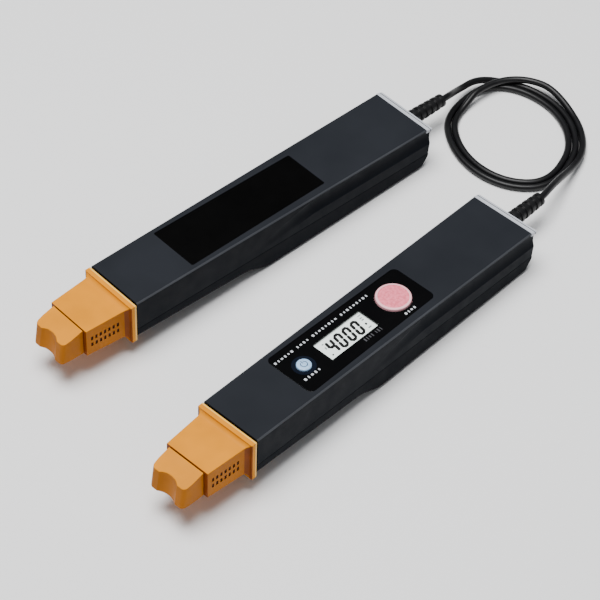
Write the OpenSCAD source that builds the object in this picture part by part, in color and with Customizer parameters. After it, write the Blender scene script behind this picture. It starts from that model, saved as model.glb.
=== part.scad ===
// Two-wand voltage tester: a main wand with a display and two buttons, a plain second wand,
// and one cord between their rear ends, wound in a loose oval coil.
// A wand is drawn with y along its deck from the case's front face, and z up from the
// front end of its flat underside. It is then tilted, so that this underside lies level.

/* [Case] */
// Width of a wand at its front end
case_w = 36; // [35.5:0.5:40]
// Width of a wand at its rear end
case_w_rear = 39.6; // [38.6:0.2:43]
// Length of the case along its deck
case_l = 204.5; // [203.5:0.5:214]
// Height of the deck above the flat underside
deck_h = 31; // [30.6:0.1:33]
// Depth of the case at its front face
front_depth = 23.7; // [23.2:0.1:25]
// Depth of the case where the step starts
step_depth = 25.7; // [25.2:0.1:27]
// Distance from the front face to the step
step_y = 70.5; // [66:0.5:74]
// Length of the step down to the flat underside
step_l = 19; // [14:1:22]
// Rise of the underside at the rear, measured from the deck's direction
rear_rise = 4.2; // [3.4:0.1:4.8]
// Length of the bevel between the underside and the rear edge of the deck
rear_toe = 5.3; // [4.9:0.1:5.8]
// Distance that the rear face leans forward at its foot
rear_lean = 2.4; // [2:0.1:2.8]
// Height of the rear bevel
rear_foot = 4; // [3.4:0.1:4.4]
// Thickness of the side walls
side_wall = 3.2; // [2.9:0.1:3.4]
// Thickness of the roof
roof_t = 3; // [2.8:0.1:3.2]
// Thickness of the floor
floor_t = 2.2; // [1.8:0.1:2.4]
// Thickness of the front wall
front_wall = 2.5; // [2:0.1:3]
// Thickness of the rear wall at its foot
rear_wall = 2.2; // [1.8:0.1:2.6]
// Height of the joint between the two halves of the case
split_h = 13; // [12.4:0.1:13.6]
// Bevel along the deck's two long edges
deck_bevel = 0.7; // [0.4:0.1:1]

/* [Finger scoops] */
// Radius of the scoop along each side
scoop_r = 9; // [8:0.5:11]
// Depth of the scoop
scoop_d = 1.7; // [1.2:0.1:2]
// Height of the scoop's middle line
scoop_h = 24.9; // [24:0.1:25.4]
// Height of the scoop's pointed start
scoop_tip_h = 17; // [16:0.5:19]
// Distance from the front face to the pointed start
scoop_tip_y = 77; // [74:1:84]
// Distance from the front face to the scoop's full width
scoop_full_y = 118; // [110:1:126]

/* [Panels] */
// Distance from the front face to the main wand's panel
panel_y = 39.4; // [39:0.1:41]
// Length of the main wand's panel
panel_l = 92; // [91.6:0.1:94]
// Width of a panel at its front
panel_w = 30.4; // [29.6:0.1:31]
// Width of a panel at its rear
panel_w_rear = 28.2; // [27.6:0.1:29]
// Corner radius of the main wand's panel
panel_r = 3.2; // [2:0.1:4]
// Depth of the recess that holds a panel
recess_d = 1.2; // [1:0.05:1.4]
// Thickness of a panel
panel_t = 1; // [0.8:0.05:1]
// Distance from the front face to the second wand's panel
blank_y = 38.4; // [36:0.5:42]
// Corner radius of the second wand's panel
blank_r = 0.8; // [0.5:0.1:2]

/* [Display] */
// Length of the display's window
lcd_l = 33.2; // [32:0.1:33.6]
// Width of the display's window
lcd_w = 13.2; // [12.6:0.1:13.6]
// Distance from the front face to the window's middle
lcd_y = 79.8; // [79:0.1:80.4]
// Height of one digit
digit_h = 8.4; // [7:0.1:9]
// Distance from one digit to the next
digit_pitch = 6; // [5.8:0.1:6.4]

/* [Buttons] */
// Diameter of the hold button
hold_d = 18.6; // [18:0.1:18.8]
// Distance from the front face to the hold button
hold_y = 115.3; // [115:0.1:115.8]
// Height of the hold button above its panel
hold_proud = 1.1; // [0.9:0.1:1.6]
// Diameter of the power button
power_d = 7.8; // [7:0.1:8.4]
// Distance from the front face to the power button
power_y = 50.4; // [50:0.1:51]
// Height of the power button above its panel
power_proud = 0.9; // [0.8:0.1:1.2]
// Gap around a button in its hole
button_gap = 0.35; // [0.3:0.05:0.45]

/* [Sensor tips] */
// Width of the tip's flange
flange_w = 36.4; // [35.6:0.2:38]
// Thickness of the flange
flange_t = 3.4; // [2.8:0.1:4]
// Height of the flange
flange_h = 24.8; // [24:0.2:26]
// Distance from the case's front face to the front end of the sleeve
sleeve_l = 29.2; // [28:0.2:32]
// Width of the sleeve behind, at its flange
sleeve_w = 30.4; // [29.6:0.2:31.2]
// Width of the sleeve in front
sleeve_w_front = 27.4; // [26.6:0.2:28.4]
// Height of the sleeve behind, at its flange
sleeve_h = 18.6; // [18:0.2:19.4]
// Height of the sleeve in front
sleeve_h_front = 17.2; // [16.8:0.2:18]
// Radius of the cove between the flange and the sleeve
cove_r = 3; // [2:0.2:4]
// Width of the nose
nose_w = 23; // [22.4:0.2:24]
// Length of the nose along its top
nose_l = 12.1; // [11.6:0.1:13]
// Height of the nose at the seam
nose_h = 16.2; // [15.8:0.1:16.6]
// Height of the nose in front
nose_h_front = 12.5; // [12.2:0.1:13]
// Distance that the nose's front face leans forward at its foot
nose_lean = 1.8; // [1.2:0.1:2.2]
// Radius of the groove across the nose that takes a wire
notch_r = 10; // [9:0.5:12]
// Depth of the groove
notch_d = 2; // [1.5:0.1:2.2]

/* [Cord] */
// Diameter of the cord
cord_d = 3.8; // [3.4:0.1:3.9]
// Half the length of the coil's outer centre line
coil_a = 43.5; // [42:0.5:45]
// Half the width of the coil's outer centre line
coil_b = 36; // [35:0.5:38]
// Distance between neighbouring turns
turn_pitch = 4.4; // [4.4:0.05:4.6]
// Length of the strain relief outside the case
relief_l = 27; // [25:0.5:30]
// Diameter of the strain relief at its root
relief_d = 8.2; // [7.6:0.1:8.6]
// Diameter of the strain relief at its end
relief_end_d = 5.2; // [4.8:0.1:5.6]

/* [Battery] */
// Length of the block battery
battery_l = 48.5; // [48:0.1:48.6]
// Width of the block battery
battery_w = 26.5; // [26:0.1:26.6]
// Thickness of the block battery
battery_t = 17.5; // [17:0.1:17.6]

/* [Hidden] */

// Clearances and small steps that many pieces share
fit_gap = 0.1;
slide_gap = 0.3;
overrun = 5;
far = 300;
round_fn = 48;
small_fn = 24;
scoop_lap = 1;
scoop_facets = 24;
arc_steps = 6;

// Levels and places in a wand that follow the case
step_end = step_y + step_l;
flat_end = case_l - rear_toe;
foot_y = case_l - rear_lean;
foot_z = rear_rise + rear_foot;
roof_z = deck_h - roof_t;
back_y = flat_end - rear_wall;
taper = atan((case_w_rear - case_w) / 2 / case_l);
pitch = atan(rear_rise / (flat_end - step_end));

// Circuit board, hung from the roof on four posts
board_drop = 7.4;
board_top = roof_z - board_drop;
board_t = 1.6;
board_w = 27.4;
board_y = 20;
board_end = 124;
post_r = 2.2;
post_x = 11.2;
post_front_y = 28.5;
post_rear_y = 101.5;
pilot_r = 0.85;
pilot_l = 5;
board_screw_r = 0.8;
board_head_r = 1.7;
board_head_t = 1.1;
board_screw_l = 4.5;

// Case screws, two near the front and two between the board and the battery
screw_x = 10;
screw_y = 13;
screw_rear_x = 12.3;
screw_rear_y = 127.8;
screw_places = [[-screw_x, screw_y], [screw_x, screw_y],
    [-screw_rear_x, screw_rear_y], [screw_rear_x, screw_rear_y]];
pillar_r = 2.6;
boss_r = 3.9;
screw_r = 1.2;
screw_hole_r = 1.45;
screw_pilot_r = 1.25;
head_r = 2.6;
head_hole_r = 2.9;
head_t = 1.5;
seat_rise = 2.9;
screw_l = 11;
cross_w = 0.7;
cross_l = 3;
cross_d = 0.8;

// Display stack
lcd_x = 0.5;
glass_border = 1.4;
glass_t = 2.4;
glass_gap = 0.5;
frame_border = 1.5;
frame_ledge = 1;
digit_t = 0.12;
digit_w = 4;
digit_bar = 1.05;
digit_slant = 7;
digit_start = -11.2;
digit_x_shift = 0.2;
mark_w = 0.9;
mark_l = 2.2;

// Buttons, switches and the domes that spring them back
flange_out = 1;
button_flange_t = 1.5;
button_edge = 0.6;
hold_rim = 1.3;
hold_dish = 0.25;
stem_r = 1.5;
switch_w = 6;
switch_h = 3.5;
dome_r = 1.7;
dome_h = 0.9;
panel_top = deck_h - recess_d + panel_t;

// Sensor tip
tip_reveal = 0.6;
flange_drop = 0.7;
sleeve_drop = 3;
sleeve_drop_front = 3.6;
spigot_w = 25.2;
spigot_drop = 4.4;
spigot_h = 15.2;
rib_out = 1;
rib_t = 1.5;
bore_w = 20;
bore_drop = 6;
bore_h = 11.8;
nose_drop = 4.1;
nose_drop_front = 7.5;
nose_seam = 0.3;
nose_taper = 0.3;
lobe_r = 2.4;
nose_spigot_l = 7;
nose_wall = 2.2;
pocket_wall = 1.6;
pocket_top_drop = 1;
electrode_t = 0.8;
electrode_w = 14.6;
lead_r = 1.4;
mark_depth = 0.4;
mark_rows = 2;
mark_cols = 7;
grip_pitch = 2.6;
grip_w = 1.3;
grip_h = 2.4;
grip_row_gap = 4.2;
grip_y = -26.4;

// Rear trim, cord entry and clamp
trim_l = 4.6;
trim_t = 2.6;
trim_slope = 1.3;
cord_drop = 9.4;
cord_z = deck_h - cord_drop;
collar_r = 5.4;
collar_t = 1.8;
relief_root = 1.8;
rib_count = 6;
rib_depth_share = 0.16;
clamp_w = 12;
clamp_l = 4;
clamp_below = 3;
clamp_back = 8;
tail_end = 11;
wire_room = 3.1;

// Battery compartment; s runs along the underside from the step's end
battery_y = 136;
battery_z = 8;
clip_t = 1.4;
stud_r = 2.8;
stud_t = 2.6;
stud_x = 6.4;
wire_r = 0.8;
wire_x = 14.2;
knee_out = 0.25;
cover_start = 44;
cover_w = 26.6;
cover_gap = 0.2;
cover_low_t = 1.3;
cover_t = 2.2;
tongue_out = 1.4;
tongue_back = 3.4;
groove_h = 1.5;
groove_low = 1.2;
rail_h = 3.7;
lip_t = 2.2;
grip_lines = 5;
cover_grip_pitch = 2.4;
cover_grip_w = 1.2;
cover_grip_l = 16;
cover_grip_d = 0.5;
cover_grip_start = 5;

// Where the two wands lie, each from the middle of its underside
rest_s = 20;
second_x = -96.7;
second_y = 22.5;
second_yaw = -4;
middle_x = 51.48;
middle_y = 3.63;
turn_nudge = 1;

// The coil: an oval whose turns shift by one pitch where the cord comes and goes
coil_x = -51;
coil_y = 164.6;
coil_turn = -28;
coil_start = 200;
coil_sweep = 881;
cord_r = cord_d / 2;
cord_floor = 0.05;
hump_gap = 0.6;
hump = cord_d + hump_gap;
coil_step = 15;
coil_sides = 6;
lead_sides = 8;

// Hand-picked points of the two free stretches, between their computed ends
main_route = [[-1, 130, 15.6], [-3, 138, 13.8], [-5, 146, 11.2], [-7, 154, 8.4]];
second_route = [[-88.4, 151, 15.1], [-90, 158, 12.2]];

function arc(c, r, a0, a1, n = arc_steps) =
    [for (i = [0:n]) let (a = a0 + (a1 - a0) * i / n) [c[0] + r * cos(a), c[1] + r * sin(a)]];
function ease(u) = let (v = min(1, max(0, u))) v * v * (3 - 2 * v);
function unit(v) = v / norm(v);

// Side outlines in (y, z)
function step_curve(lift) = [for (i = [0:arc_steps]) let (u = i / arc_steps)
    [step_end - step_l * u, lift + (deck_h - step_depth) * (1 - cos(180 * u)) / 2]];
case_side = concat([[0, deck_h], [case_l, deck_h], [foot_y, foot_z], [flat_end, rear_rise]],
    step_curve(0), [[0, deck_h - front_depth]]);
cavity_side = concat([[front_wall, roof_z], [back_y, roof_z],
    [back_y, rear_rise * (back_y - step_end) / (flat_end - step_end) + floor_t]],
    step_curve(floor_t), [[front_wall, deck_h - front_depth + floor_t]]);

module side_extrude(points, w) rotate([90, 0, 90])
    linear_extrude(height = w, center = true) polygon(points);

module plan_extrude(inset) linear_extrude(height = deck_h + overrun)
    polygon([[inset - case_w / 2, 0], [case_w / 2 - inset, 0],
        [case_w_rear / 2 - inset, case_l], [inset - case_w_rear / 2, case_l]]);

module case_block() intersection() {
    side_extrude(case_side, far);
    plan_extrude(0);
}

module cavity_block() intersection() {
    side_extrude(cavity_side, far);
    plan_extrude(side_wall);
}

module layer(z0, z1) translate([-far / 2, -far / 2, z0]) cube([far, far * 2, z1 - z0]);

// The sole's own frame: y runs along the flat underside, z stands square to it
module on_sole() translate([0, step_end, 0]) rotate([pitch, 0, 0]) children();

// A frame on the case's right or left side wall, with x pointing out of the wall
module on_side(side) scale_side(side) translate([case_w / 2, 0, 0]) rotate([0, 0, -taper]) children();
module scale_side(side) if (side > 0) children(); else mirror([1, 0, 0]) children();

module side_scoops() for (side = [-1, 1]) on_side(side) {
    rise = scoop_h - scoop_tip_h;
    run = scoop_full_y - scoop_tip_y;
    reach = norm([rise, run, scoop_d]);
    translate([scoop_r - scoop_d, scoop_full_y, scoop_h]) {
        rotate([-90, 0, 0]) scoop_bar(case_l);
        rotate([0, 0, atan(scoop_d / run)]) rotate([atan(rise / run), 0, 0]) rotate([90, 0, 0])
            scoop_bar(reach + scoop_lap);
    }
}

module scoop_bar(l) translate([0, 0, -scoop_lap]) linear_extrude(height = l + scoop_lap)
    polygon(arc([0, 0], scoop_r, 90, 270, scoop_facets));

module deck_bevels() for (side = [-1, 1]) on_side(side)
    translate([0, case_l / 2, deck_h]) rotate([0, 45, 0])
        translate([-overrun / 2, -case_l, -deck_bevel / sqrt(2)]) cube([overrun, 2 * case_l, overrun]);

function panel_shape(y, w, w_rear, l, r) = concat(
    arc([w / 2 - r, y + r], r, -90, 0), arc([w_rear / 2 - r, y + l - r], r, 0, 90),
    arc([r - w_rear / 2, y + l - r], r, 90, 180), arc([r - w / 2, y + r], r, 180, 270));

module panel_block(y, r, inset) linear_extrude(height = panel_t)
    polygon(panel_shape(y + inset, panel_w - 2 * inset, panel_w_rear - 2 * inset,
        panel_l - 2 * inset, r));

module recess(y, r) translate([0, 0, deck_h - recess_d]) linear_extrude(height = overrun)
    polygon(panel_shape(y, panel_w, panel_w_rear, panel_l, r));

module button_holes() {
    translate([0, hold_y, 0]) cylinder(r = hold_d / 2 + button_gap, h = far, $fn = round_fn);
    translate([0, power_y, 0]) cylinder(r = power_d / 2 + button_gap, h = far, $fn = round_fn);
}

module lcd_box(border, z0, z1) translate([lcd_x - lcd_w / 2 - border, lcd_y - lcd_l / 2 - border, z0])
    cube([lcd_w + 2 * border, lcd_l + 2 * border, z1 - z0]);

module spigot_box(grow, y0, y1) translate([-spigot_w / 2 - grow, y0,
    deck_h - spigot_drop - spigot_h - grow])
    cube([spigot_w + 2 * grow, y1 - y0, spigot_h + 2 * grow]);

module along_y(y0, y1, z, r) translate([0, y0, z]) rotate([-90, 0, 0])
    cylinder(r = r, h = y1 - y0, $fn = round_fn);

module upper_case(main) difference() {
    union() {
        difference() {
            intersection() {
                case_block();
                layer(split_h, far);
            }
            cavity_block();
        }
        for (p = screw_places) translate([p[0], p[1], split_h])
            cylinder(r = pillar_r, h = roof_z - split_h + fit_gap, $fn = round_fn);
        for (x = [-post_x, post_x], y = [post_front_y, post_rear_y]) translate([x, y, board_top])
            cylinder(r = post_r, h = board_drop + fit_gap, $fn = round_fn);
    }
    side_scoops();
    deck_bevels();
    spigot_box(fit_gap, -overrun, front_wall + fit_gap);
    translate([-far / 2, case_l - trim_l, deck_h - trim_t]) cube([far, far, far]);
    along_y(back_y - overrun, far, cord_z, relief_d / 2 + fit_gap);
    for (p = screw_places) translate([p[0], p[1], split_h - overrun])
        cylinder(r = screw_pilot_r, h = screw_l + overrun, $fn = small_fn);
    for (x = [-post_x, post_x], y = [post_front_y, post_rear_y])
        translate([x, y, board_top - overrun])
            cylinder(r = pilot_r, h = pilot_l + overrun, $fn = small_fn);
    if (main) {
        recess(panel_y, panel_r);
        button_holes();
        lcd_box(glass_border + slide_gap, roof_z - overrun, far);
    } else recess(blank_y, blank_r);
}

function sole_at(y) = rear_rise * (y - step_end) / (flat_end - step_end);
function under_at(y) = y > step_end ? sole_at(y)
    : deck_h - front_depth - (step_depth - front_depth) * min(1, y / step_y);
function seat_at(y) = under_at(y) + seat_rise;

cover_end_s = norm([flat_end - step_end, rear_rise]);
cover_foot_s = (foot_y - step_end) * cos(pitch) + foot_z * sin(pitch);
cover_foot_h = foot_z * cos(pitch) - (foot_y - step_end) * sin(pitch);

module cover_slot() on_sole() {
    slot_w = cover_w + 2 * slide_gap;
    translate([-slot_w / 2, cover_start - slide_gap, -overrun])
        cube([slot_w, far, overrun + cover_foot_h + slide_gap]);
    translate([-slot_w / 2 - tongue_out, cover_start - slide_gap, groove_low])
        cube([slot_w + 2 * tongue_out, far, groove_h]);
}

module lower_case(main) difference() {
    union() {
        difference() {
            intersection() {
                case_block();
                layer(-overrun, split_h);
            }
            cavity_block();
        }
        intersection() {
            case_block();
            for (p = screw_places) translate([p[0], p[1], 0])
                cylinder(r = boss_r, h = split_h, $fn = round_fn);
        }
        if (main) intersection() {
            case_block();
            on_sole() for (side = [-1, 1]) scale_side(side)
                translate([cover_w / 2 + slide_gap, cover_start - slide_gap, 0])
                    cube([(case_w_rear - cover_w - side_wall) / 2, back_y - step_end - cover_start, rail_h]);
        }
    }
    spigot_box(fit_gap, -overrun, front_wall + fit_gap);
    for (p = screw_places) translate([p[0], p[1], 0]) {
        translate([0, 0, -overrun]) cylinder(r = screw_hole_r, h = far, $fn = small_fn);
        translate([0, 0, -overrun])
            cylinder(r = head_hole_r, h = overrun + seat_at(p[1]), $fn = round_fn);
    }
    if (main) cover_slot();
}

module battery_cover_shape() on_sole() difference() {
    union() {
        intersection() {
            side_extrude([[cover_start, cover_gap], [cover_end_s, cover_gap],
                [cover_foot_s, cover_foot_h], [cover_foot_s - lip_t, cover_foot_h],
                [cover_end_s - lip_t, cover_gap + cover_t], [cover_start, cover_gap + cover_t]], far);
            translate([-cover_w / 2, 0, -overrun]) cube([cover_w, far, far]);
        }
        translate([-cover_w / 2 - tongue_out, cover_start, cover_gap + cover_low_t])
            cube([cover_w + 2 * tongue_out, cover_end_s - cover_start - tongue_back,
                cover_t - cover_low_t]);
    }
    for (i = [0:grip_lines - 1])
        translate([-cover_grip_l / 2, cover_start + cover_grip_start + i * cover_grip_pitch, 0])
            cube([cover_grip_l, cover_grip_w, cover_gap + cover_grip_d]);
}

// The light strip across the rear edge of the deck, sloping down to the rear
module end_trim() intersection() {
    plan_extrude(0);
    side_extrude([[case_l - trim_l + fit_gap, deck_h - trim_t + fit_gap],
        [case_l - trim_l + fit_gap, deck_h], [case_l, deck_h - trim_slope],
        [case_l, deck_h - trim_t + fit_gap]], far);
}

module display_panel_shape() difference() {
    translate([0, 0, deck_h - recess_d]) panel_block(panel_y, panel_r, fit_gap);
    button_holes();
    lcd_box(fit_gap, 0, far);
}

module display_window_shape() lcd_box(0, deck_h - recess_d, panel_top - fit_gap);

glass_top = deck_h - recess_d - glass_gap;

module lcd_frame_shape() difference() {
    lcd_box(glass_border + frame_border, board_top, roof_z - slide_gap);
    lcd_box(glass_border + fit_gap, glass_top - glass_t, far);
    lcd_box(-frame_ledge, 0, far);
}

module lcd_glass_shape() lcd_box(glass_border, glass_top - glass_t, glass_top);

// One bar of a digit between two points, pointed at both ends; u reads along the wand, v up
function slanted(p) = [p[0] + p[1] * tan(digit_slant), p[1]];
module digit_bar_shape(p, q) {
    d = unit(q - p) * digit_bar / 2;
    n = [-d[1], d[0]];
    gap = d / 4;
    a = p + gap;
    b = q - gap;
    polygon([for (e = [a, a + d + n, b - d + n, b, b - d - n, a + d - n]) slanted(e)]);
}

digit_corners = [[0, 0], [digit_w, 0], [0, digit_h / 2], [digit_w, digit_h / 2],
    [0, digit_h], [digit_w, digit_h]];
bars_four = [[4, 2], [2, 3], [5, 3], [3, 1]];
bars_zero = [[4, 5], [4, 2], [5, 3], [2, 0], [3, 1], [0, 1]];

module lcd_digits_shape() translate([lcd_x + digit_h / 2 - digit_x_shift, lcd_y + digit_start, glass_top])
    rotate([0, 0, 90]) linear_extrude(height = digit_t) {
        for (i = [0:3]) translate([i * digit_pitch, 0])
            for (bar = i == 0 ? bars_four : bars_zero)
                digit_bar_shape(digit_corners[bar[0]], digit_corners[bar[1]]);
        translate([4 * digit_pitch, 0]) square([mark_l, mark_w]);
        translate([4 * digit_pitch, digit_h - mark_w]) square([mark_l, mark_w]);
        translate([-mark_l - mark_w, 0]) square([mark_l, mark_w]);
    }

// A button turned about its own axis, with a flange under the roof and a stem on its dome
function button_profile(r, top, dish, rim) = concat(
    [[0, board_top + switch_h + dome_h + fit_gap], [stem_r, board_top + switch_h + dome_h + fit_gap],
        [stem_r, roof_z - slide_gap - button_flange_t],
        [r + flange_out, roof_z - slide_gap - button_flange_t],
        [r + flange_out, roof_z - slide_gap], [r, roof_z - slide_gap]],
    arc([r - button_edge, top - button_edge], button_edge, 0, 90),
    dish > 0 ? [[r - rim, top], [r - rim - dish, top - dish], [0, top - dish]] : [[0, top]]);

module button(y, d, proud, dish, rim) translate([0, y, 0]) rotate_extrude($fn = round_fn)
    polygon(button_profile(d / 2, panel_top + proud, dish, rim));

module dome(y) translate([0, y, board_top + switch_h])
    cylinder(r = dome_r, h = dome_h, $fn = small_fn);

module switch_body(y) translate([-switch_w / 2, y - switch_w / 2, board_top])
    cube([switch_w, switch_w, switch_h]);

module board() difference() {
    translate([-board_w / 2, board_y, board_top - board_t])
        cube([board_w, board_end - board_y, board_t]);
    for (x = [-post_x, post_x], y = [post_front_y, post_rear_y]) translate([x, y, 0])
        cylinder(r = board_screw_r + fit_gap, h = far, $fn = small_fn);
}

// Components as [x, y, width, length, height]; a negative height stands under the board
chip_places = [[0, 35, 10, 10, 1.8], [-9, 56, 2.4, 4, 1.2], [7, 44, 3, 6, 1.4],
    [0, 82, 14, 14, -1.6], [-6, 50, 8, 10, -2], [5, 108, 6, 8, -1.8], [-7, 112, 5, 9, -5],
    [5, 30, 7, 7, -3]];
second_chip_places = [[0, 35, 8, 8, 1.8], [0, 60, 10, 12, -1.8], [-6, 84, 5, 5, -4], [6, 96, 6, 9, -1.8]];

module board_parts(places) for (c = places)
    translate([c[0] - c[2] / 2, c[1] - c[3] / 2, c[4] > 0 ? board_top : board_top - board_t + c[4]])
        cube([c[2], c[3], abs(c[4])]);

module board_screws() for (x = [-post_x, post_x], y = [post_front_y, post_rear_y])
    translate([x, y, board_top - board_t]) {
        cylinder(r = board_screw_r, h = board_screw_l, $fn = small_fn);
        translate([0, 0, -board_head_t]) cylinder(r = board_head_r, h = board_head_t, $fn = small_fn);
    }

module case_screws() for (p = screw_places) translate([p[0], p[1], seat_at(p[1])]) difference() {
    union() {
        cylinder(r = screw_r, h = split_h + screw_l - fit_gap - seat_at(p[1]), $fn = small_fn);
        translate([0, 0, -head_t]) cylinder(r = head_r, h = head_t, $fn = round_fn);
    }
    for (a = [0, 90]) rotate([0, 0, a]) translate([-cross_l / 2, -cross_w / 2, -head_t - overrun])
        cube([cross_l, cross_w, overrun + cross_d]);
}

module battery_block() {
    translate([-battery_w / 2, battery_y, battery_z]) cube([battery_w, battery_l, battery_t]);
    for (x = [-stud_x, stud_x]) translate([x, battery_y - stud_t, battery_z + battery_t / 2])
        rotate([-90, 0, 0]) cylinder(r = stud_r, h = stud_t + fit_gap, $fn = small_fn);
}

module battery_pad_shape() translate([-battery_w / 4, battery_y + battery_l / 4, battery_z + battery_t])
    cube([battery_w / 2, battery_l / 2, roof_z - battery_z - battery_t]);

module battery_clip_shape() translate([-battery_w / 2, battery_y - stud_t - clip_t - fit_gap, battery_z])
    cube([battery_w, clip_t, battery_t]);

module rod(a, b, r) {
    d = b - a;
    translate(a) rotate([0, acos(d[2] / norm(d)), atan2(d[1], d[0])])
        cylinder(r = r, h = norm(d), $fn = small_fn);
}

module wire(points, r) {
    for (i = [0:len(points) - 2]) rod(points[i], points[i + 1], r);
    for (i = [1:len(points) - 2]) translate(points[i]) sphere(r = r + knee_out, $fn = small_fn);
}

module battery_leads_shape() for (side = [-1, 1])
    wire([[side * stud_x / 2, battery_y - stud_t - clip_t - 2 * fit_gap, battery_z + battery_t / 2],
        [side * stud_x / 2, wire_low_y, battery_z + battery_t / 2],
        [side * stud_x / 2, wire_low_y, board_top - board_t - fit_gap]], wire_r);

tail_y = battery_y + battery_l + wire_room;
wire_low_y = board_end - clamp_l;

module main_wires_shape() wire([[0, tail_y - fit_gap, cord_z], [0, tail_y - 2 * wire_r, cord_z],
    [wire_x, tail_y - 2 * wire_r, roof_z - 2 * wire_r], [wire_x, battery_y + stud_t, roof_z - 2 * wire_r],
    [stud_x, board_end + clamp_l, roof_z - 2 * wire_r],
    [stud_x, wire_low_y, board_top + wire_r + fit_gap]], wire_r);

module second_wires_shape() wire([[0, tail_y - fit_gap, cord_z],
    [0, board_end + clamp_l, cord_z], [0, wire_low_y, board_top + wire_r + fit_gap]], wire_r);

// Plan and side outlines of the sleeve, from the case's front face forward
flange_front = tip_reveal + flange_t;
function cove(w_out, w_in) = [for (i = [0:arc_steps]) let (a = 90 * i / arc_steps)
    [w_out - (w_out - w_in) * sin(a), -flange_front - cove_r * (1 - cos(a))]];
function half_plan() = concat([[flange_w / 2, -tip_reveal]], cove(flange_w / 2, sleeve_w / 2),
    [[sleeve_w_front / 2, -sleeve_l]]);
function mirrored(points) = [for (i = [len(points) - 1:-1:0]) [-points[i][0], points[i][1]]];
function flip(points) = [for (p = points) [p[1], p[0]]];
flange_top = deck_h - flange_drop;
sleeve_top_side = concat([[flange_top, -tip_reveal]], cove(flange_top, deck_h - sleeve_drop),
    [[deck_h - sleeve_drop_front, -sleeve_l]]);
sleeve_low_side = concat([[flange_top - flange_h, -tip_reveal]],
    cove(flange_top - flange_h, deck_h - sleeve_drop - sleeve_h),
    [[deck_h - sleeve_drop_front - sleeve_h_front, -sleeve_l]]);
function reversed(points) = [for (i = [len(points) - 1:-1:0]) points[i]];

module bore_box(inset, y0, y1) translate([-bore_w / 2 + inset, y0, deck_h - bore_drop - bore_h + inset])
    cube([bore_w - 2 * inset, y1 - y0, bore_h - 2 * inset]);

// Two rows of engraved grip bars on each side of the sleeve
module grip_bars() for (side = [-1, 1]) scale_side(side)
    translate([sleeve_w_front / 2, -sleeve_l, deck_h - sleeve_drop_front - sleeve_h_front / 2])
        rotate([0, 0, -atan((sleeve_w - sleeve_w_front) / 2 / (sleeve_l - flange_front - cove_r))])
            for (row = [0:mark_rows - 1], col = [0:mark_cols - 1])
                translate([-mark_depth, sleeve_l + grip_y + col * grip_pitch,
                    (row - (mark_rows - 1) / 2) * grip_row_gap - grip_h / 2])
                    cube([overrun, grip_w, grip_h]);

module tip_sleeve() difference() {
    union() {
        difference() {
            intersection() {
                linear_extrude(height = far) polygon(concat(half_plan(), mirrored(half_plan())));
                side_extrude(concat(flip(sleeve_top_side), reversed(flip(sleeve_low_side))), far);
            }
            grip_bars();
        }
        spigot_box(0, -tip_reveal - flange_t / 2, front_wall + 2 * fit_gap + rib_t / 2);
        spigot_box(rib_out, front_wall + 2 * fit_gap, front_wall + 2 * fit_gap + rib_t);
    }
    bore_box(0, -far, far);
}

nose_y = -sleeve_l - nose_seam;
nose_top = deck_h - nose_drop;
nose_top_front = deck_h - nose_drop_front;
nose_mid_z = nose_top_front - nose_h_front / 2;
nose_front_y = nose_y - nose_l - nose_lean / 2;
nose_tilt = atan(nose_lean / nose_h_front);

// The nose's own leaning frame, with its origin at the middle of the front face
module on_nose() translate([0, nose_front_y, nose_mid_z]) rotate([-nose_tilt, 0, 0]) children();

module nose_plan() linear_extrude(height = far, center = true) polygon(concat(
    [[nose_w / 2, far / 4], [nose_w / 2, lobe_r * 2]],
    reversed(arc([nose_w / 2 - nose_taper - lobe_r, lobe_r], lobe_r, -90, 0)),
    arc([lobe_r + nose_taper - nose_w / 2, lobe_r], lobe_r, -90, -180),
    [[-nose_w / 2, lobe_r * 2], [-nose_w / 2, far / 4]]));

module notch_bore(r) translate([0, notch_d - notch_r, 0])
    cylinder(r = r, h = far, center = true, $fn = 2 * round_fn);

pocket_low = deck_h - bore_drop - bore_h + fit_gap + pocket_wall;
pocket_high = nose_top_front - pocket_top_drop;

module pocket() intersection() {
    translate([-bore_w / 2 + fit_gap + pocket_wall, -far / 2, pocket_low])
        cube([bore_w - 2 * fit_gap - 2 * pocket_wall, far, pocket_high - pocket_low]);
    on_nose() difference() {
        translate([-far / 2, 0, -far / 2]) cube([far, far, far]);
        notch_bore(notch_r + nose_wall);
    }
}

module tip_nose() difference() {
    union() {
        intersection() {
            on_nose() nose_plan();
            side_extrude([[nose_y, nose_top], [nose_y - nose_l, nose_top_front],
                [nose_y - nose_l - nose_lean, nose_top_front - nose_h_front],
                [nose_y, nose_top - nose_h]], far);
        }
        bore_box(fit_gap, nose_y - pocket_wall, nose_y + nose_spigot_l);
    }
    on_nose() notch_bore(notch_r);
    pocket();
}

module electrode() intersection() {
    translate([-electrode_w / 2, -far / 2, pocket_low + fit_gap])
        cube([electrode_w, far, pocket_high - pocket_low - 2 * fit_gap]);
    on_nose() difference() {
        translate([-far / 2, 0, -far / 2]) cube([far, notch_r * 2, far]);
        notch_bore(notch_r + nose_wall + fit_gap);
    }
    on_nose() notch_bore(notch_r + nose_wall + fit_gap + electrode_t);
}

lead_z = board_top - board_t / 2;
electrode_back = nose_front_y + notch_d + nose_wall + fit_gap + electrode_t
    + (lead_z - nose_mid_z) * tan(nose_tilt);

module sensor_lead() along_y(electrode_back + slide_gap, board_y - fit_gap, lead_z, lead_r);

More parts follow.
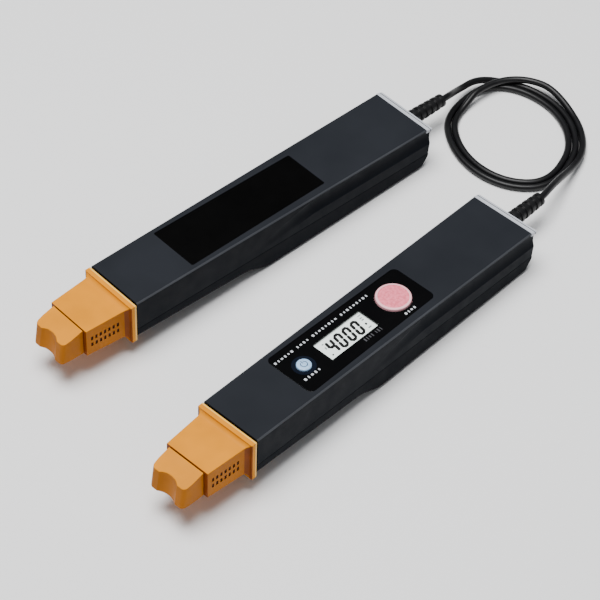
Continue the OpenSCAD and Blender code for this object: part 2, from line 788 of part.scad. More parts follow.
// Tapered strain relief: collar inside the rear wall, then a root and ringed taper outside
relief_start = back_y - fit_gap;
relief_out = case_l;
relief_end = relief_out + relief_l;
function relief_r(y) = (relief_d + (relief_end_d - relief_d) * (y - relief_out) / relief_l) / 2;
ring_l = (relief_l - relief_root) / (2 * rib_count);
function ring_points() = [for (i = [0:2 * rib_count - 1], e = [0, 1])
    let (y = relief_out + relief_root + (i + e) * ring_l, groove = i % 2 == 0)
    [relief_r(y) * (groove ? 1 - rib_depth_share : 1), y]];

module strain_relief() difference() {
    translate([0, 0, cord_z]) rotate([-90, 0, 0]) rotate_extrude($fn = round_fn) polygon(concat(
        [[0, relief_start - collar_t], [collar_r, relief_start - collar_t], [collar_r, relief_start],
            [relief_d / 2, relief_start], [relief_d / 2, relief_out + relief_root]],
        ring_points(), [[0, relief_end]]));
    along_y(0, far, cord_z, cord_r + fit_gap / 2);
}

module cord_clamp() difference() {
    translate([-clamp_w / 2, case_l - clamp_back - tail_end / 2 - clamp_l / 2, cord_z - clamp_below])
        cube([clamp_w, clamp_l, roof_z - cord_z + clamp_below]);
    along_y(0, far, cord_z, cord_r + fit_gap / 2);
}

module cord_tail() along_y(tail_y, relief_end, cord_z, cord_r);

// Laying a wand down on its underside, then putting the pair around the origin
module placed() translate([middle_x, middle_y, 0]) children();
module lie() translate([0, -step_end * cos(pitch) - rest_s, step_end * sin(pitch)])
    rotate([-pitch, 0, 0]) children();
module first() placed() lie() children();
module second() placed() translate([second_x, second_y, 0]) rotate([0, 0, second_yaw]) lie() children();

function lay(p) = let (y = p[1] * cos(pitch) + p[2] * sin(pitch), z = p[2] * cos(pitch) - p[1] * sin(pitch))
    [p[0], y - step_end * cos(pitch) - rest_s, z + step_end * sin(pitch)];
function turn(p, a) = [p[0] * cos(a) - p[1] * sin(a), p[0] * sin(a) + p[1] * cos(a), p[2]];
function lay_second(p) = turn(lay(p), second_yaw) + [second_x, second_y, 0];

// The slot of a turn, counted from the outside in, at sweep angle s
slot_in = 80;
slot_out = 161;
slot_relax = 50;
slot_gather = 310;
slot_tight = 355;
function slot_of_turn(s, turn_no) = let (a = s - 360 * turn_no)
    turn_no == 2 ? 2 - 2 * ease(a / slot_in)
    : turn_no + ease(a / slot_in) - ease((a - slot_out) / slot_relax)
        + ease((a - slot_gather) / (slot_tight - slot_gather));
function slot(s) = slot_of_turn(s, min(2, floor(s / 360)));
land_s = 25;
lift_s = 690;
lifted_s = 722;
drop_s = 790;
dropped_s = 830;
rise_s = 845;
exit_rise = 2.4;
function coil_z(s) = cord_r + cord_floor + hump * (1 - ease(s / land_s))
    + hump * (ease((s - lift_s) / (lifted_s - lift_s)) - ease((s - drop_s) / (dropped_s - drop_s)))
    + exit_rise * ease((s - rise_s) / (coil_sweep - rise_s) / 2) * 2;
function coil_point(s) = let (t = coil_start - s, k = slot(s) * turn_pitch)
    turn([(coil_a - k) * cos(t), (coil_b - k) * sin(t), coil_z(s)], coil_turn) + [coil_x, coil_y, 0];
coil_first = unit(coil_point(turn_nudge) - coil_point(0));
coil_last = unit(coil_point(coil_sweep) - coil_point(coil_sweep - turn_nudge));
coil_path = concat([coil_point(0) - coil_first * cord_d],
    [for (s = [0:coil_step:coil_sweep - coil_step / 2]) coil_point(s)],
    [coil_point(coil_sweep), coil_point(coil_sweep) + coil_last * cord_d]);

relief_tip = lay([0, relief_end, cord_z]);
relief_dir = unit(lay([0, relief_end + cord_d, cord_z]) - relief_tip);
second_tip = lay_second([0, relief_end, cord_z]);
second_dir = unit(lay_second([0, relief_end + cord_d, cord_z]) - second_tip);
main_path = concat([relief_tip, relief_tip + relief_dir * cord_d], main_route,
    [coil_path[len(coil_path) - 1] + coil_last * cord_d, coil_path[len(coil_path) - 1]]);
second_path = concat([second_tip, second_tip + second_dir * cord_d], second_route,
    [coil_path[0] - coil_first * cord_d, coil_path[0]]);

function tangent(path, i) = i == 0 ? unit(path[1] - path[0])
    : i == len(path) - 1 ? unit(path[i] - path[i - 1])
    : unit(unit(path[i + 1] - path[i]) + unit(path[i] - path[i - 1]));
function ring(p, t, sides) = let (side = unit(cross([0, 0, 1], t)), up = cross(t, side))
    [for (i = [0:sides - 1]) let (a = 360 * (i + 0.5) / sides)
        p + cord_r * (cos(a) * side + sin(a) * up)];
function fan(first, sides, back) = [for (i = [1:sides - 2])
    back ? [first, first + i + 1, first + i] : [first, first + i, first + i + 1]];

module tube(path, sides) {
    last = len(path) - 1;
    polyhedron(
        points = [for (i = [0:last], p = ring(path[i], tangent(path, i), sides)) p],
        faces = concat(fan(0, sides, false), fan(last * sides, sides, true),
            [for (i = [0:last - 1], j = [0:sides - 1]) let (k = (j + 1) % sides, a = i * sides, b = a + sides)
                each [[a + j, b + j, b + k], [a + j, b + k, a + k]]]),
        convexity = 8);
}

function length_of(path) = sum_of([for (i = [1:len(path) - 1]) norm(path[i] - path[i - 1])]);
function sum_of(values, i = 0) = i < len(values) ? values[i] + sum_of(values, i + 1) : 0;

// Least gap between one turn and another, on points every few degrees
gap_step = 4;
gap_skip = 240;
function least_gap() = min([
    for (s = [0:gap_step:coil_sweep - gap_skip], q = [s + gap_skip:gap_step:coil_sweep])
        norm(coil_point(s) - coil_point(q))]) - cord_d;
echo(coil_least_gap = least_gap());
echo(cord_length = length_of(main_path) + length_of(coil_path) + length_of(second_path));

case_colour = [0.13, 0.14, 0.16];
orange = [0.95, 0.66, 0.26];
board_green = [0.1, 0.35, 0.2];
metal = [0.72, 0.72, 0.74];

module main_upper_case() color(case_colour) first() upper_case(true);
module main_lower_case() color([0.11, 0.12, 0.14]) first() lower_case(true);
module battery_cover() color([0.1, 0.1, 0.12]) first() battery_cover_shape();
module main_end_trim() color([0.85, 0.86, 0.88]) first() end_trim();
module display_panel() color([0.03, 0.03, 0.03]) first() display_panel_shape();
module display_window() color([0.9, 0.93, 0.94, 0.4]) first() display_window_shape();
module lcd_frame() color([0.2, 0.2, 0.2]) first() lcd_frame_shape();
module lcd_glass() color([0.85, 0.88, 0.87]) first() lcd_glass_shape();
module lcd_digits() color("black") first() lcd_digits_shape();
module hold_button() color([0.94, 0.6, 0.66]) first() button(hold_y, hold_d, hold_proud, hold_dish, hold_rim);
module power_button() color([0.7, 0.82, 0.93]) first() button(power_y, power_d, power_proud, 0, 0);
module hold_dome() color(metal) first() dome(hold_y);
module power_dome() color(metal) first() dome(power_y);
module hold_switch() color([0.15, 0.15, 0.15]) first() switch_body(hold_y);
module power_switch() color([0.15, 0.15, 0.15]) first() switch_body(power_y);
module main_board() color(board_green) first() board();
module main_board_parts() color([0.1, 0.1, 0.1]) first() board_parts(chip_places);
module main_board_screws() color(metal) first() board_screws();
module battery() color([0.3, 0.3, 0.35]) first() battery_block();
module battery_pad() color([0.25, 0.25, 0.25]) first() battery_pad_shape();
module battery_clip() color([0.1, 0.1, 0.1]) first() battery_clip_shape();
module battery_leads() color([0.7, 0.1, 0.1]) first() battery_leads_shape();
module main_wires() color([0.6, 0.6, 0.6]) first() main_wires_shape();
module main_tip_sleeve() color(orange) first() tip_sleeve();
module main_tip_nose() color(orange) first() tip_nose();
module main_electrode() color([0.8, 0.55, 0.3]) first() electrode();
module main_sensor_lead() color([0.2, 0.2, 0.2]) first() sensor_lead();
module main_strain_relief() color([0.08, 0.08, 0.08]) first() strain_relief();
module main_cord_clamp() color([0.2, 0.2, 0.2]) first() cord_clamp();
module main_cord_tail() color([0.1, 0.1, 0.1]) first() cord_tail();
module main_case_screws() color(metal) first() case_screws();
module second_upper_case() color(case_colour) second() upper_case(false);
module second_lower_case() color([0.11, 0.12, 0.14]) second() lower_case(false);
module second_end_trim() color([0.85, 0.86, 0.88]) second() end_trim();
module blank_panel() color([0.03, 0.03, 0.03]) second()
    translate([0, 0, deck_h - recess_d]) panel_block(blank_y, blank_r, fit_gap);
module second_board() color(board_green) second() board();
module second_board_parts() color([0.1, 0.1, 0.1]) second() board_parts(second_chip_places);
module second_board_screws() color(metal) second() board_screws();
module second_wires() color([0.6, 0.6, 0.6]) second() second_wires_shape();
module second_tip_sleeve() color(orange) second() tip_sleeve();
module second_tip_nose() color(orange) second() tip_nose();
module second_electrode() color([0.8, 0.55, 0.3]) second() electrode();
module second_sensor_lead() color([0.2, 0.2, 0.2]) second() sensor_lead();
module second_strain_relief() color([0.08, 0.08, 0.08]) second() strain_relief();
module second_cord_clamp() color([0.2, 0.2, 0.2]) second() cord_clamp();
module second_cord_tail() color([0.1, 0.1, 0.1]) second() cord_tail();
module second_case_screws() color(metal) second() case_screws();
module main_cord_lead() color([0.05, 0.05, 0.05]) placed() tube(main_path, lead_sides);
module second_cord_lead() color([0.05, 0.05, 0.05]) placed() tube(second_path, lead_sides);
module cord_coil() color([0.05, 0.05, 0.05]) placed() tube(coil_path, coil_sides);

main_upper_case();
main_lower_case();
battery_cover();
main_end_trim();
display_panel();
display_window();
lcd_frame();
lcd_glass();
lcd_digits();
hold_button();
power_button();
hold_dome();
power_dome();
hold_switch();
power_switch();
main_board();
main_board_parts();
main_board_screws();
battery();
battery_pad();
battery_clip();
battery_leads();
main_wires();
main_tip_sleeve();
main_tip_nose();
main_electrode();
main_sensor_lead();
main_strain_relief();
main_cord_clamp();
main_cord_tail();
main_case_screws();
second_upper_case();
second_lower_case();
second_end_trim();
blank_panel();
second_board();
second_board_parts();
second_board_screws();
second_wires();
second_tip_sleeve();
second_tip_nose();
second_electrode();
second_sensor_lead();
second_strain_relief();
second_cord_clamp();
second_cord_tail();
second_case_screws();
main_cord_lead();
second_cord_lead();
cord_coil();
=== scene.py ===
import bpy
import bmesh
import math
from mathutils import Matrix, Vector


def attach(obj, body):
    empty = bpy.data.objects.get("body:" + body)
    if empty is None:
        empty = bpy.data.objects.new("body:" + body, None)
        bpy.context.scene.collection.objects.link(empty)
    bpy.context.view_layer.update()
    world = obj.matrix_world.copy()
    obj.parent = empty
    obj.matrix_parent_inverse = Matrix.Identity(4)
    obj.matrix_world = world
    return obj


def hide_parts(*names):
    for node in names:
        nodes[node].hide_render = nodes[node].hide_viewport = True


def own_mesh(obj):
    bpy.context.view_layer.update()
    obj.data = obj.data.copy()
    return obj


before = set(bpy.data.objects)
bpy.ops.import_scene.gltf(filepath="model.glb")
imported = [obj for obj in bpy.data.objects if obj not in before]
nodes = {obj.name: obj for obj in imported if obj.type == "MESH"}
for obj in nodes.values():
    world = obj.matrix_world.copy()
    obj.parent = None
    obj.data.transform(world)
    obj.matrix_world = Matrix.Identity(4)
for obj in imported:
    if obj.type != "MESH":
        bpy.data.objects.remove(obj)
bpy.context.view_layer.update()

# A wand is modelled in millimetres along its own deck: y from the case's front face to the cord, z up from
# the front end of the flat underside. These numbers lay it down where the CAD has it.
caseShape = {
    "width": 36.0, "rearWidth": 39.6, "length": 204.5, "deck": 31.0, "stepStart": 70.5, "stepEnd": 89.5,
    "flatEnd": 199.2, "rearRise": 4.2, "rearSlope": 1.38, "frontDepth": 23.7, "stepDepth": 25.7,
    "parting": 13.0, "restFrom": 20.0,
    "middle": (51.48, 3.63), "secondAt": (-96.7, 22.5), "secondYaw": -4.0,
}
tilt = math.atan(caseShape["rearRise"] / (caseShape["flatEnd"] - caseShape["stepEnd"]))
layDown = (Matrix.Translation((0, -caseShape["stepEnd"] * math.cos(tilt) - caseShape["restFrom"],
                               caseShape["stepEnd"] * math.sin(tilt)))
           @ Matrix.Rotation(-tilt, 4, "X"))
toMetres = Matrix.Diagonal((0.001, 0.001, 0.001, 1)) @ Matrix.Translation((*caseShape["middle"], 0))
onTable = {
    "main": toMetres @ layDown,
    "second": toMetres @ Matrix.Translation((*caseShape["secondAt"], 0))
    @ Matrix.Rotation(math.radians(caseShape["secondYaw"]), 4, "Z") @ layDown,
}


def halfWidth(y):
    s = caseShape
    return (s["width"] + (s["rearWidth"] - s["width"]) * y / s["length"]) / 2


def undersideAt(y):
    s = caseShape
    if y >= s["flatEnd"]:
        return s["rearRise"] + (y - s["flatEnd"]) * s["rearSlope"]
    if y >= s["stepEnd"]:
        return s["rearRise"] * (y - s["stepEnd"]) / (s["flatEnd"] - s["stepEnd"])
    if y >= s["stepStart"]:
        u = (s["stepEnd"] - y) / (s["stepEnd"] - s["stepStart"])
        return (s["deck"] - s["stepDepth"]) * (1 - math.cos(math.pi * u)) / 2
    return s["deck"] - s["frontDepth"] - (s["stepDepth"] - s["frontDepth"]) * y / s["stepStart"]


meshCare = {"weld": 0.002, "flatAngle": 0.3, "smoothAngle": 32, "roundSmoothAngle": 40}
sharpness = {"any": 20, "steep": 40, "square": 50}  # degrees between the faces of an edge worth a bevel


def pickOnly(piece):
    bpy.ops.object.select_all(action="DESELECT")
    piece.select_set(True)
    bpy.context.view_layer.objects.active = piece


def bakePlace(piece, place=None):
    if place is not None:
        piece.matrix_world = place
    pickOnly(piece)
    bpy.ops.object.transform_apply(location=True, rotation=True, scale=True)


def applyModifiers(piece):
    pickOnly(piece)
    for modifier in list(piece.modifiers):
        bpy.ops.object.modifier_apply(modifier=modifier.name)


def selectFaces(piece, rule):
    pickOnly(piece)
    bpy.ops.object.mode_set(mode="EDIT")
    bpy.ops.mesh.select_mode(type="FACE")
    bpy.ops.mesh.select_all(action="DESELECT")
    bpy.ops.object.mode_set(mode="OBJECT")
    for face in piece.data.polygons:
        face.select = bool(rule(face.center, face.normal))
    bpy.ops.object.mode_set(mode="EDIT")


def roundEdges(piece, rule, width, segments=3, least=sharpness["any"]):
    # bevels the edges that the rule picks by their two ends
    pickOnly(piece)
    bpy.ops.object.mode_set(mode="EDIT")
    bpy.ops.mesh.select_mode(type="EDGE")
    bpy.ops.mesh.select_all(action="DESELECT")
    bpy.ops.object.mode_set(mode="OBJECT")
    look = bmesh.new()
    look.from_mesh(piece.data)
    picked = []
    for edge in look.edges:
        if len(edge.link_faces) != 2 or edge.calc_face_angle(0) < math.radians(least):
            continue
        if rule(edge.verts[0].co, edge.verts[1].co):
            picked.append(edge.index)
    look.free()
    for index in picked:
        piece.data.edges[index].select = True
    bpy.ops.object.mode_set(mode="EDIT")
    if picked:
        bpy.ops.mesh.bevel(offset=width, offset_type="OFFSET", segments=segments, profile=0.5,
                           affect="EDGES", clamp_overlap=True)
    bpy.ops.object.mode_set(mode="OBJECT")


def smoothPiece(piece, angle=meshCare["smoothAngle"], weighted=True):
    pickOnly(piece)
    bpy.ops.object.shade_smooth_by_angle(angle=math.radians(angle))
    if weighted:
        modifier = piece.modifiers.new("even", "WEIGHTED_NORMAL")
        modifier.keep_sharp = True
        bpy.ops.object.modifier_apply(modifier=modifier.name)


def copyOfNode(nodeName, pieceName, wand):  # a merged copy of a CAD node, in the wand's own millimetres
    source = nodes[nodeName]
    piece = bpy.data.objects.new(pieceName, source.data.copy())
    bpy.context.scene.collection.objects.link(piece)
    bakePlace(piece, onTable[wand].inverted())
    pickOnly(piece)
    bpy.ops.object.mode_set(mode="EDIT")
    bpy.ops.mesh.select_all(action="SELECT")
    bpy.ops.mesh.remove_doubles(threshold=meshCare["weld"])
    bpy.ops.mesh.dissolve_limited(angle_limit=math.radians(meshCare["flatAngle"]))
    bpy.ops.object.mode_set(mode="OBJECT")
    if piece.data.has_custom_normals:
        bpy.ops.mesh.customdata_custom_splitnormals_clear()
    return piece


def giveMaterial(piece, material):
    piece.data.materials.clear()
    piece.data.materials.append(material)


def finishPiece(piece, wand, material, body="root", replaced=()):
    bakePlace(piece, onTable[wand])
    if material:
        giveMaterial(piece, material)
    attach(piece, body)
    if replaced:
        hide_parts(*replaced)


cameraSetup = {
    "azimuth": 43.523, "elevation": 47.177, "distance": 1.2268, "target": (-0.00023, -0.00255, 0.0),
    "lens": 142.85, "sensor": 36.0, "clip": (0.01, 20),
}


def makeCamera(s):
    azimuth, elevation = math.radians(s["azimuth"]), math.radians(s["elevation"])
    back = Vector((math.sin(azimuth) * math.cos(elevation), -math.cos(azimuth) * math.cos(elevation),
                   math.sin(elevation)))
    bpy.ops.object.camera_add(location=Vector(s["target"]) + back * s["distance"])
    camera = bpy.context.object
    camera.name = "photoCamera"
    camera.rotation_euler = back.to_track_quat("Z", "Y").to_euler()
    camera.data.sensor_fit = "HORIZONTAL"
    camera.data.sensor_width = s["sensor"]
    camera.data.lens = s["lens"]
    camera.data.clip_start, camera.data.clip_end = s["clip"]
    bpy.context.scene.camera = camera


makeCamera(cameraSetup)
print("camera is set")

# The coil is an oval with its angles in degrees along the winding. In each whole turn the strand moves a
# pitch inward by slotIn, out again from slotOut, and in once more from gather to tight. The last part turn
# goes back out over the others between lift and drop, and rises to the main wand after riseFrom.
cordShape = {
    "diameter": 3.8, "coilMiddle": (-51.0, 164.6), "coilTurn": -28.0, "longRadius": 43.5,
    "shortRadius": 36.0, "pitch": 3.95, "start": 200.0, "sweep": 881.0, "step": 3,
    "floor": 0.05, "hump": 4.4, "land": 45.0,
    "slotIn": 80.0, "slotOut": 161.0, "relax": 50.0, "gather": 310.0, "tight": 355.0,
    "lift": (690.0, 722.0), "drop": (790.0, 830.0), "riseFrom": 845.0, "exitRise": 2.4,
    "reliefEnd": 231.5, "axisHeight": 21.6, "freeSteps": 12, "relaxPasses": 170, "roundness": 5,
    "mainRoute": [(-1, 130, 15.6), (-3, 138, 13.8), (-5, 146, 11.2), (-7, 154, 8.4)],
    "secondRoute": [(-88.4, 151, 15.1), (-90, 158, 12.2)],
}


def ease(u):  # from 0 to 1 with a soft start and end
    u = min(1, max(0, u))
    return u * u * (3 - 2 * u)


def coilPoint(s, swept):  # slot 0 is the coil's outer strand
    turn = min(2, math.floor(swept / 360))
    a = swept - 360 * turn
    if turn == 2:
        slot = 2 - 2 * ease(a / s["slotIn"])
    else:
        slot = (turn + ease(a / s["slotIn"]) - ease((a - s["slotOut"]) / s["relax"])
                + ease((a - s["gather"]) / (s["tight"] - s["gather"])))
    angle = math.radians(s["start"] - swept)
    inward = slot * s["pitch"]
    lifted = ease((swept - s["lift"][0]) / (s["lift"][1] - s["lift"][0]))
    dropped = ease((swept - s["drop"][0]) / (s["drop"][1] - s["drop"][0]))
    rising = ease((swept - s["riseFrom"]) / (s["sweep"] - s["riseFrom"]) / 2) * 2
    landing = 1 - ease(swept / s["land"])
    z = (s["diameter"] / 2 + s["floor"] + s["hump"] * landing + s["hump"] * (lifted - dropped)
         + s["exitRise"] * rising)
    flat = Matrix.Rotation(math.radians(s["coilTurn"]), 3, "Z") @ Vector(
        ((s["longRadius"] - inward) * math.cos(angle), (s["shortRadius"] - inward) * math.sin(angle), 0))
    return Vector((flat.x + s["coilMiddle"][0], flat.y + s["coilMiddle"][1], z))


def smoothThrough(points, steps):  # a rounded line through the points
    made = []
    for i in range(len(points) - 1):
        p0, p1 = points[max(i - 1, 0)], points[i]
        p2, p3 = points[i + 1], points[min(i + 2, len(points) - 1)]
        for k in range(steps):
            t = k / steps
            made.append(0.5 * (2 * p1 + (p2 - p0) * t + (2 * p0 - 5 * p1 + 4 * p2 - p3) * t * t
                               + (3 * p1 - p0 - 3 * p2 + p3) * t * t * t))
    made.append(points[-1].copy())
    return made


def relaxLine(points, passes):  # evens out the bends, with both ends kept
    for _ in range(passes):
        before = [p.copy() for p in points]
        for i in range(2, len(points) - 2):
            points[i] = (before[i - 1] + 2 * before[i] + before[i + 1]) / 4


def cordRoute(s):
    reliefEnd = Vector((0, s["reliefEnd"], s["axisHeight"]))
    further = reliefEnd + Vector((0, s["diameter"], 0))
    place = {k: toMetres.inverted() @ onTable[k] for k in onTable}
    steps = int((s["sweep"] - s["step"] / 2) // s["step"])
    coil = [coilPoint(s, i * s["step"]) for i in range(steps + 1)] + [coilPoint(s, s["sweep"])]
    leadIn = (coil[1] - coil[0]).normalized() * s["diameter"]
    leadOut = (coil[-1] - coil[-2]).normalized() * s["diameter"]
    wayIn = [place["second"] @ reliefEnd, place["second"] @ further] + [Vector(p) for p in s["secondRoute"]]
    wayOut = [Vector(p) for p in reversed(s["mainRoute"])]
    wayOut += [place["main"] @ further, place["main"] @ reliefEnd]
    first = smoothThrough(wayIn + [coil[0] - 2 * leadIn, coil[0]], s["freeSteps"])
    last = smoothThrough([coil[-1], coil[-1] + 2 * leadOut] + wayOut, s["freeSteps"])
    for stretch in (first, last):
        relaxLine(stretch, s["relaxPasses"])
    route = first[:-1] + coil + last[1:]
    return [toMetres @ p for p in route]


def makeCord(s):
    route = cordRoute(s)
    curve = bpy.data.curves.new("joiningCord", "CURVE")
    curve.dimensions = "3D"
    spline = curve.splines.new("POLY")
    spline.points.add(len(route) - 1)
    for point, at in zip(spline.points, route):
        point.co = (*at, 1)
        point.radius = s["diameter"] / 2000
    curve.bevel_depth = 1  # times the radius of each point
    curve.bevel_resolution = s["roundness"]
    curve.use_fill_caps = True
    cord = bpy.data.objects.new("joiningCord", curve)
    bpy.context.scene.collection.objects.link(cord)
    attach(cord, "root")
    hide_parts("main_cord_lead", "second_cord_lead", "cord_coil")
    return cord


cord = makeCord(cordShape)

studio = {
    "floorSize": 9.0, "floorDrop": 0.0002, "floorTone": (0.92, 0.92, 0.92), "floorRoughness": 0.8,
    "sky": 0.22, "skyTone": (0.93, 0.96, 1.0),
    "lamps": {
        "keyLight": {"at": (-0.12, -0.1, 1.6), "size": 1.0, "power": 47},
        "fillLight": {"at": (1.3, -0.3, 0.9), "size": 1.2, "power": 1.5},
    },
}


def makeMaterial(name):
    material = bpy.data.materials.new(name)
    material.use_nodes = True
    return material, material.node_tree, material.node_tree.nodes["Principled BSDF"]


def makeStudio(s):
    bpy.ops.mesh.primitive_plane_add(size=s["floorSize"], location=(0, 0, -s["floorDrop"]))
    floor = bpy.context.object
    floor.name = "paleFloor"
    material, tree, shader = makeMaterial("paleFloorPaint")
    shader.inputs["Base Color"].default_value = (*s["floorTone"], 1)
    shader.inputs["Roughness"].default_value = s["floorRoughness"]
    giveMaterial(floor, material)
    world = bpy.data.worlds.new("softRoom")
    world.use_nodes = True
    world.node_tree.nodes["Background"].inputs["Color"].default_value = (*s["skyTone"], 1)
    world.node_tree.nodes["Background"].inputs["Strength"].default_value = s["sky"]
    bpy.context.scene.world = world
    for name, spec in s["lamps"].items():
        bpy.ops.object.light_add(type="AREA", location=spec["at"])
        lamp = bpy.context.object
        lamp.name = name
        lamp.data.size = spec["size"]
        lamp.data.energy = spec["power"]
        lamp.rotation_euler = Vector(spec["at"]).to_track_quat("Z", "Y").to_euler()


makeStudio(studio)
print("floor and light are set")


def addNoise(tree, scale, detail=3, roughness=0.55, stretch=None):
    coords = tree.nodes.new("ShaderNodeTexCoord")
    noise = tree.nodes.new("ShaderNodeTexNoise")
    noise.inputs["Scale"].default_value = scale
    noise.inputs["Detail"].default_value = detail
    noise.inputs["Roughness"].default_value = roughness
    if stretch:
        mapping = tree.nodes.new("ShaderNodeMapping")
        mapping.inputs["Scale"].default_value = stretch
        tree.links.new(coords.outputs["Object"], mapping.inputs["Vector"])
        tree.links.new(mapping.outputs["Vector"], noise.inputs["Vector"])
    else:
        tree.links.new(coords.outputs["Object"], noise.inputs["Vector"])
    return noise


def addRamp(tree, source, stops):
    ramp = tree.nodes.new("ShaderNodeValToRGB")
    ramp.color_ramp.elements[0].position = stops[0][0]
    ramp.color_ramp.elements[0].color = (*stops[0][1], 1)
    ramp.color_ramp.elements[1].position = stops[-1][0]
    ramp.color_ramp.elements[1].color = (*stops[-1][1], 1)
    for position, color in stops[1:-1]:
        ramp.color_ramp.elements.new(position).color = (*color, 1)
    tree.links.new(source, ramp.inputs["Fac"])
    return ramp


def addBump(tree, shader, height, strength, distance):
    bump = tree.nodes.new("ShaderNodeBump")
    bump.inputs["Strength"].default_value = strength
    bump.inputs["Distance"].default_value = distance
    tree.links.new(height, bump.inputs["Height"])
    tree.links.new(bump.outputs["Normal"], shader.inputs["Normal"])


def addGloss(tree, shader, source, gloss, stops=(0.3, 0.7)):  # roughness that follows a noise
    rough = addRamp(tree, source, [(stops[0], (gloss[0],) * 3), (stops[1], (gloss[1],) * 3)])
    tree.links.new(rough.outputs["Color"], shader.inputs["Roughness"])


usualPlastic = {
    "drift": 0.12, "driftScale": 28, "driftStops": (0.35, 0.65), "smearScale": 140, "grain": 0.25,
    "grainScale": 2200, "grainRoughness": 0.6, "grainDepth": 0.00008, "specular": 0.5,
}


def plastic(name, special):  # moulded plastic: fine grain, slow tone drift, uneven gloss
    s = {**usualPlastic, **special}
    material, tree, shader = makeMaterial(name)
    drift = addNoise(tree, s["driftScale"], 2)
    tone = s["tone"]
    low = tuple(c * (1 - s["drift"]) for c in tone)
    high = tuple(min(1, c * (1 + s["drift"])) for c in tone)
    ramp = addRamp(tree, drift.outputs["Fac"], [(s["driftStops"][0], low), (s["driftStops"][1], high)])
    tree.links.new(ramp.outputs["Color"], shader.inputs["Base Color"])
    smear = addNoise(tree, s["smearScale"], 4)
    addGloss(tree, shader, smear.outputs["Fac"], s["gloss"])
    grain = addNoise(tree, s["grainScale"], 2, s["grainRoughness"])
    addBump(tree, shader, grain.outputs["Fac"], s["grain"], s["grainDepth"])
    shader.inputs["Specular IOR Level"].default_value = s["specular"]
    if "paintedGlow" in s:  # painted glow, so the display ground looks lit
        shader.inputs["Emission Color"].default_value = (*tone, 1)
        shader.inputs["Emission Strength"].default_value = s["paintedGlow"]
    return material


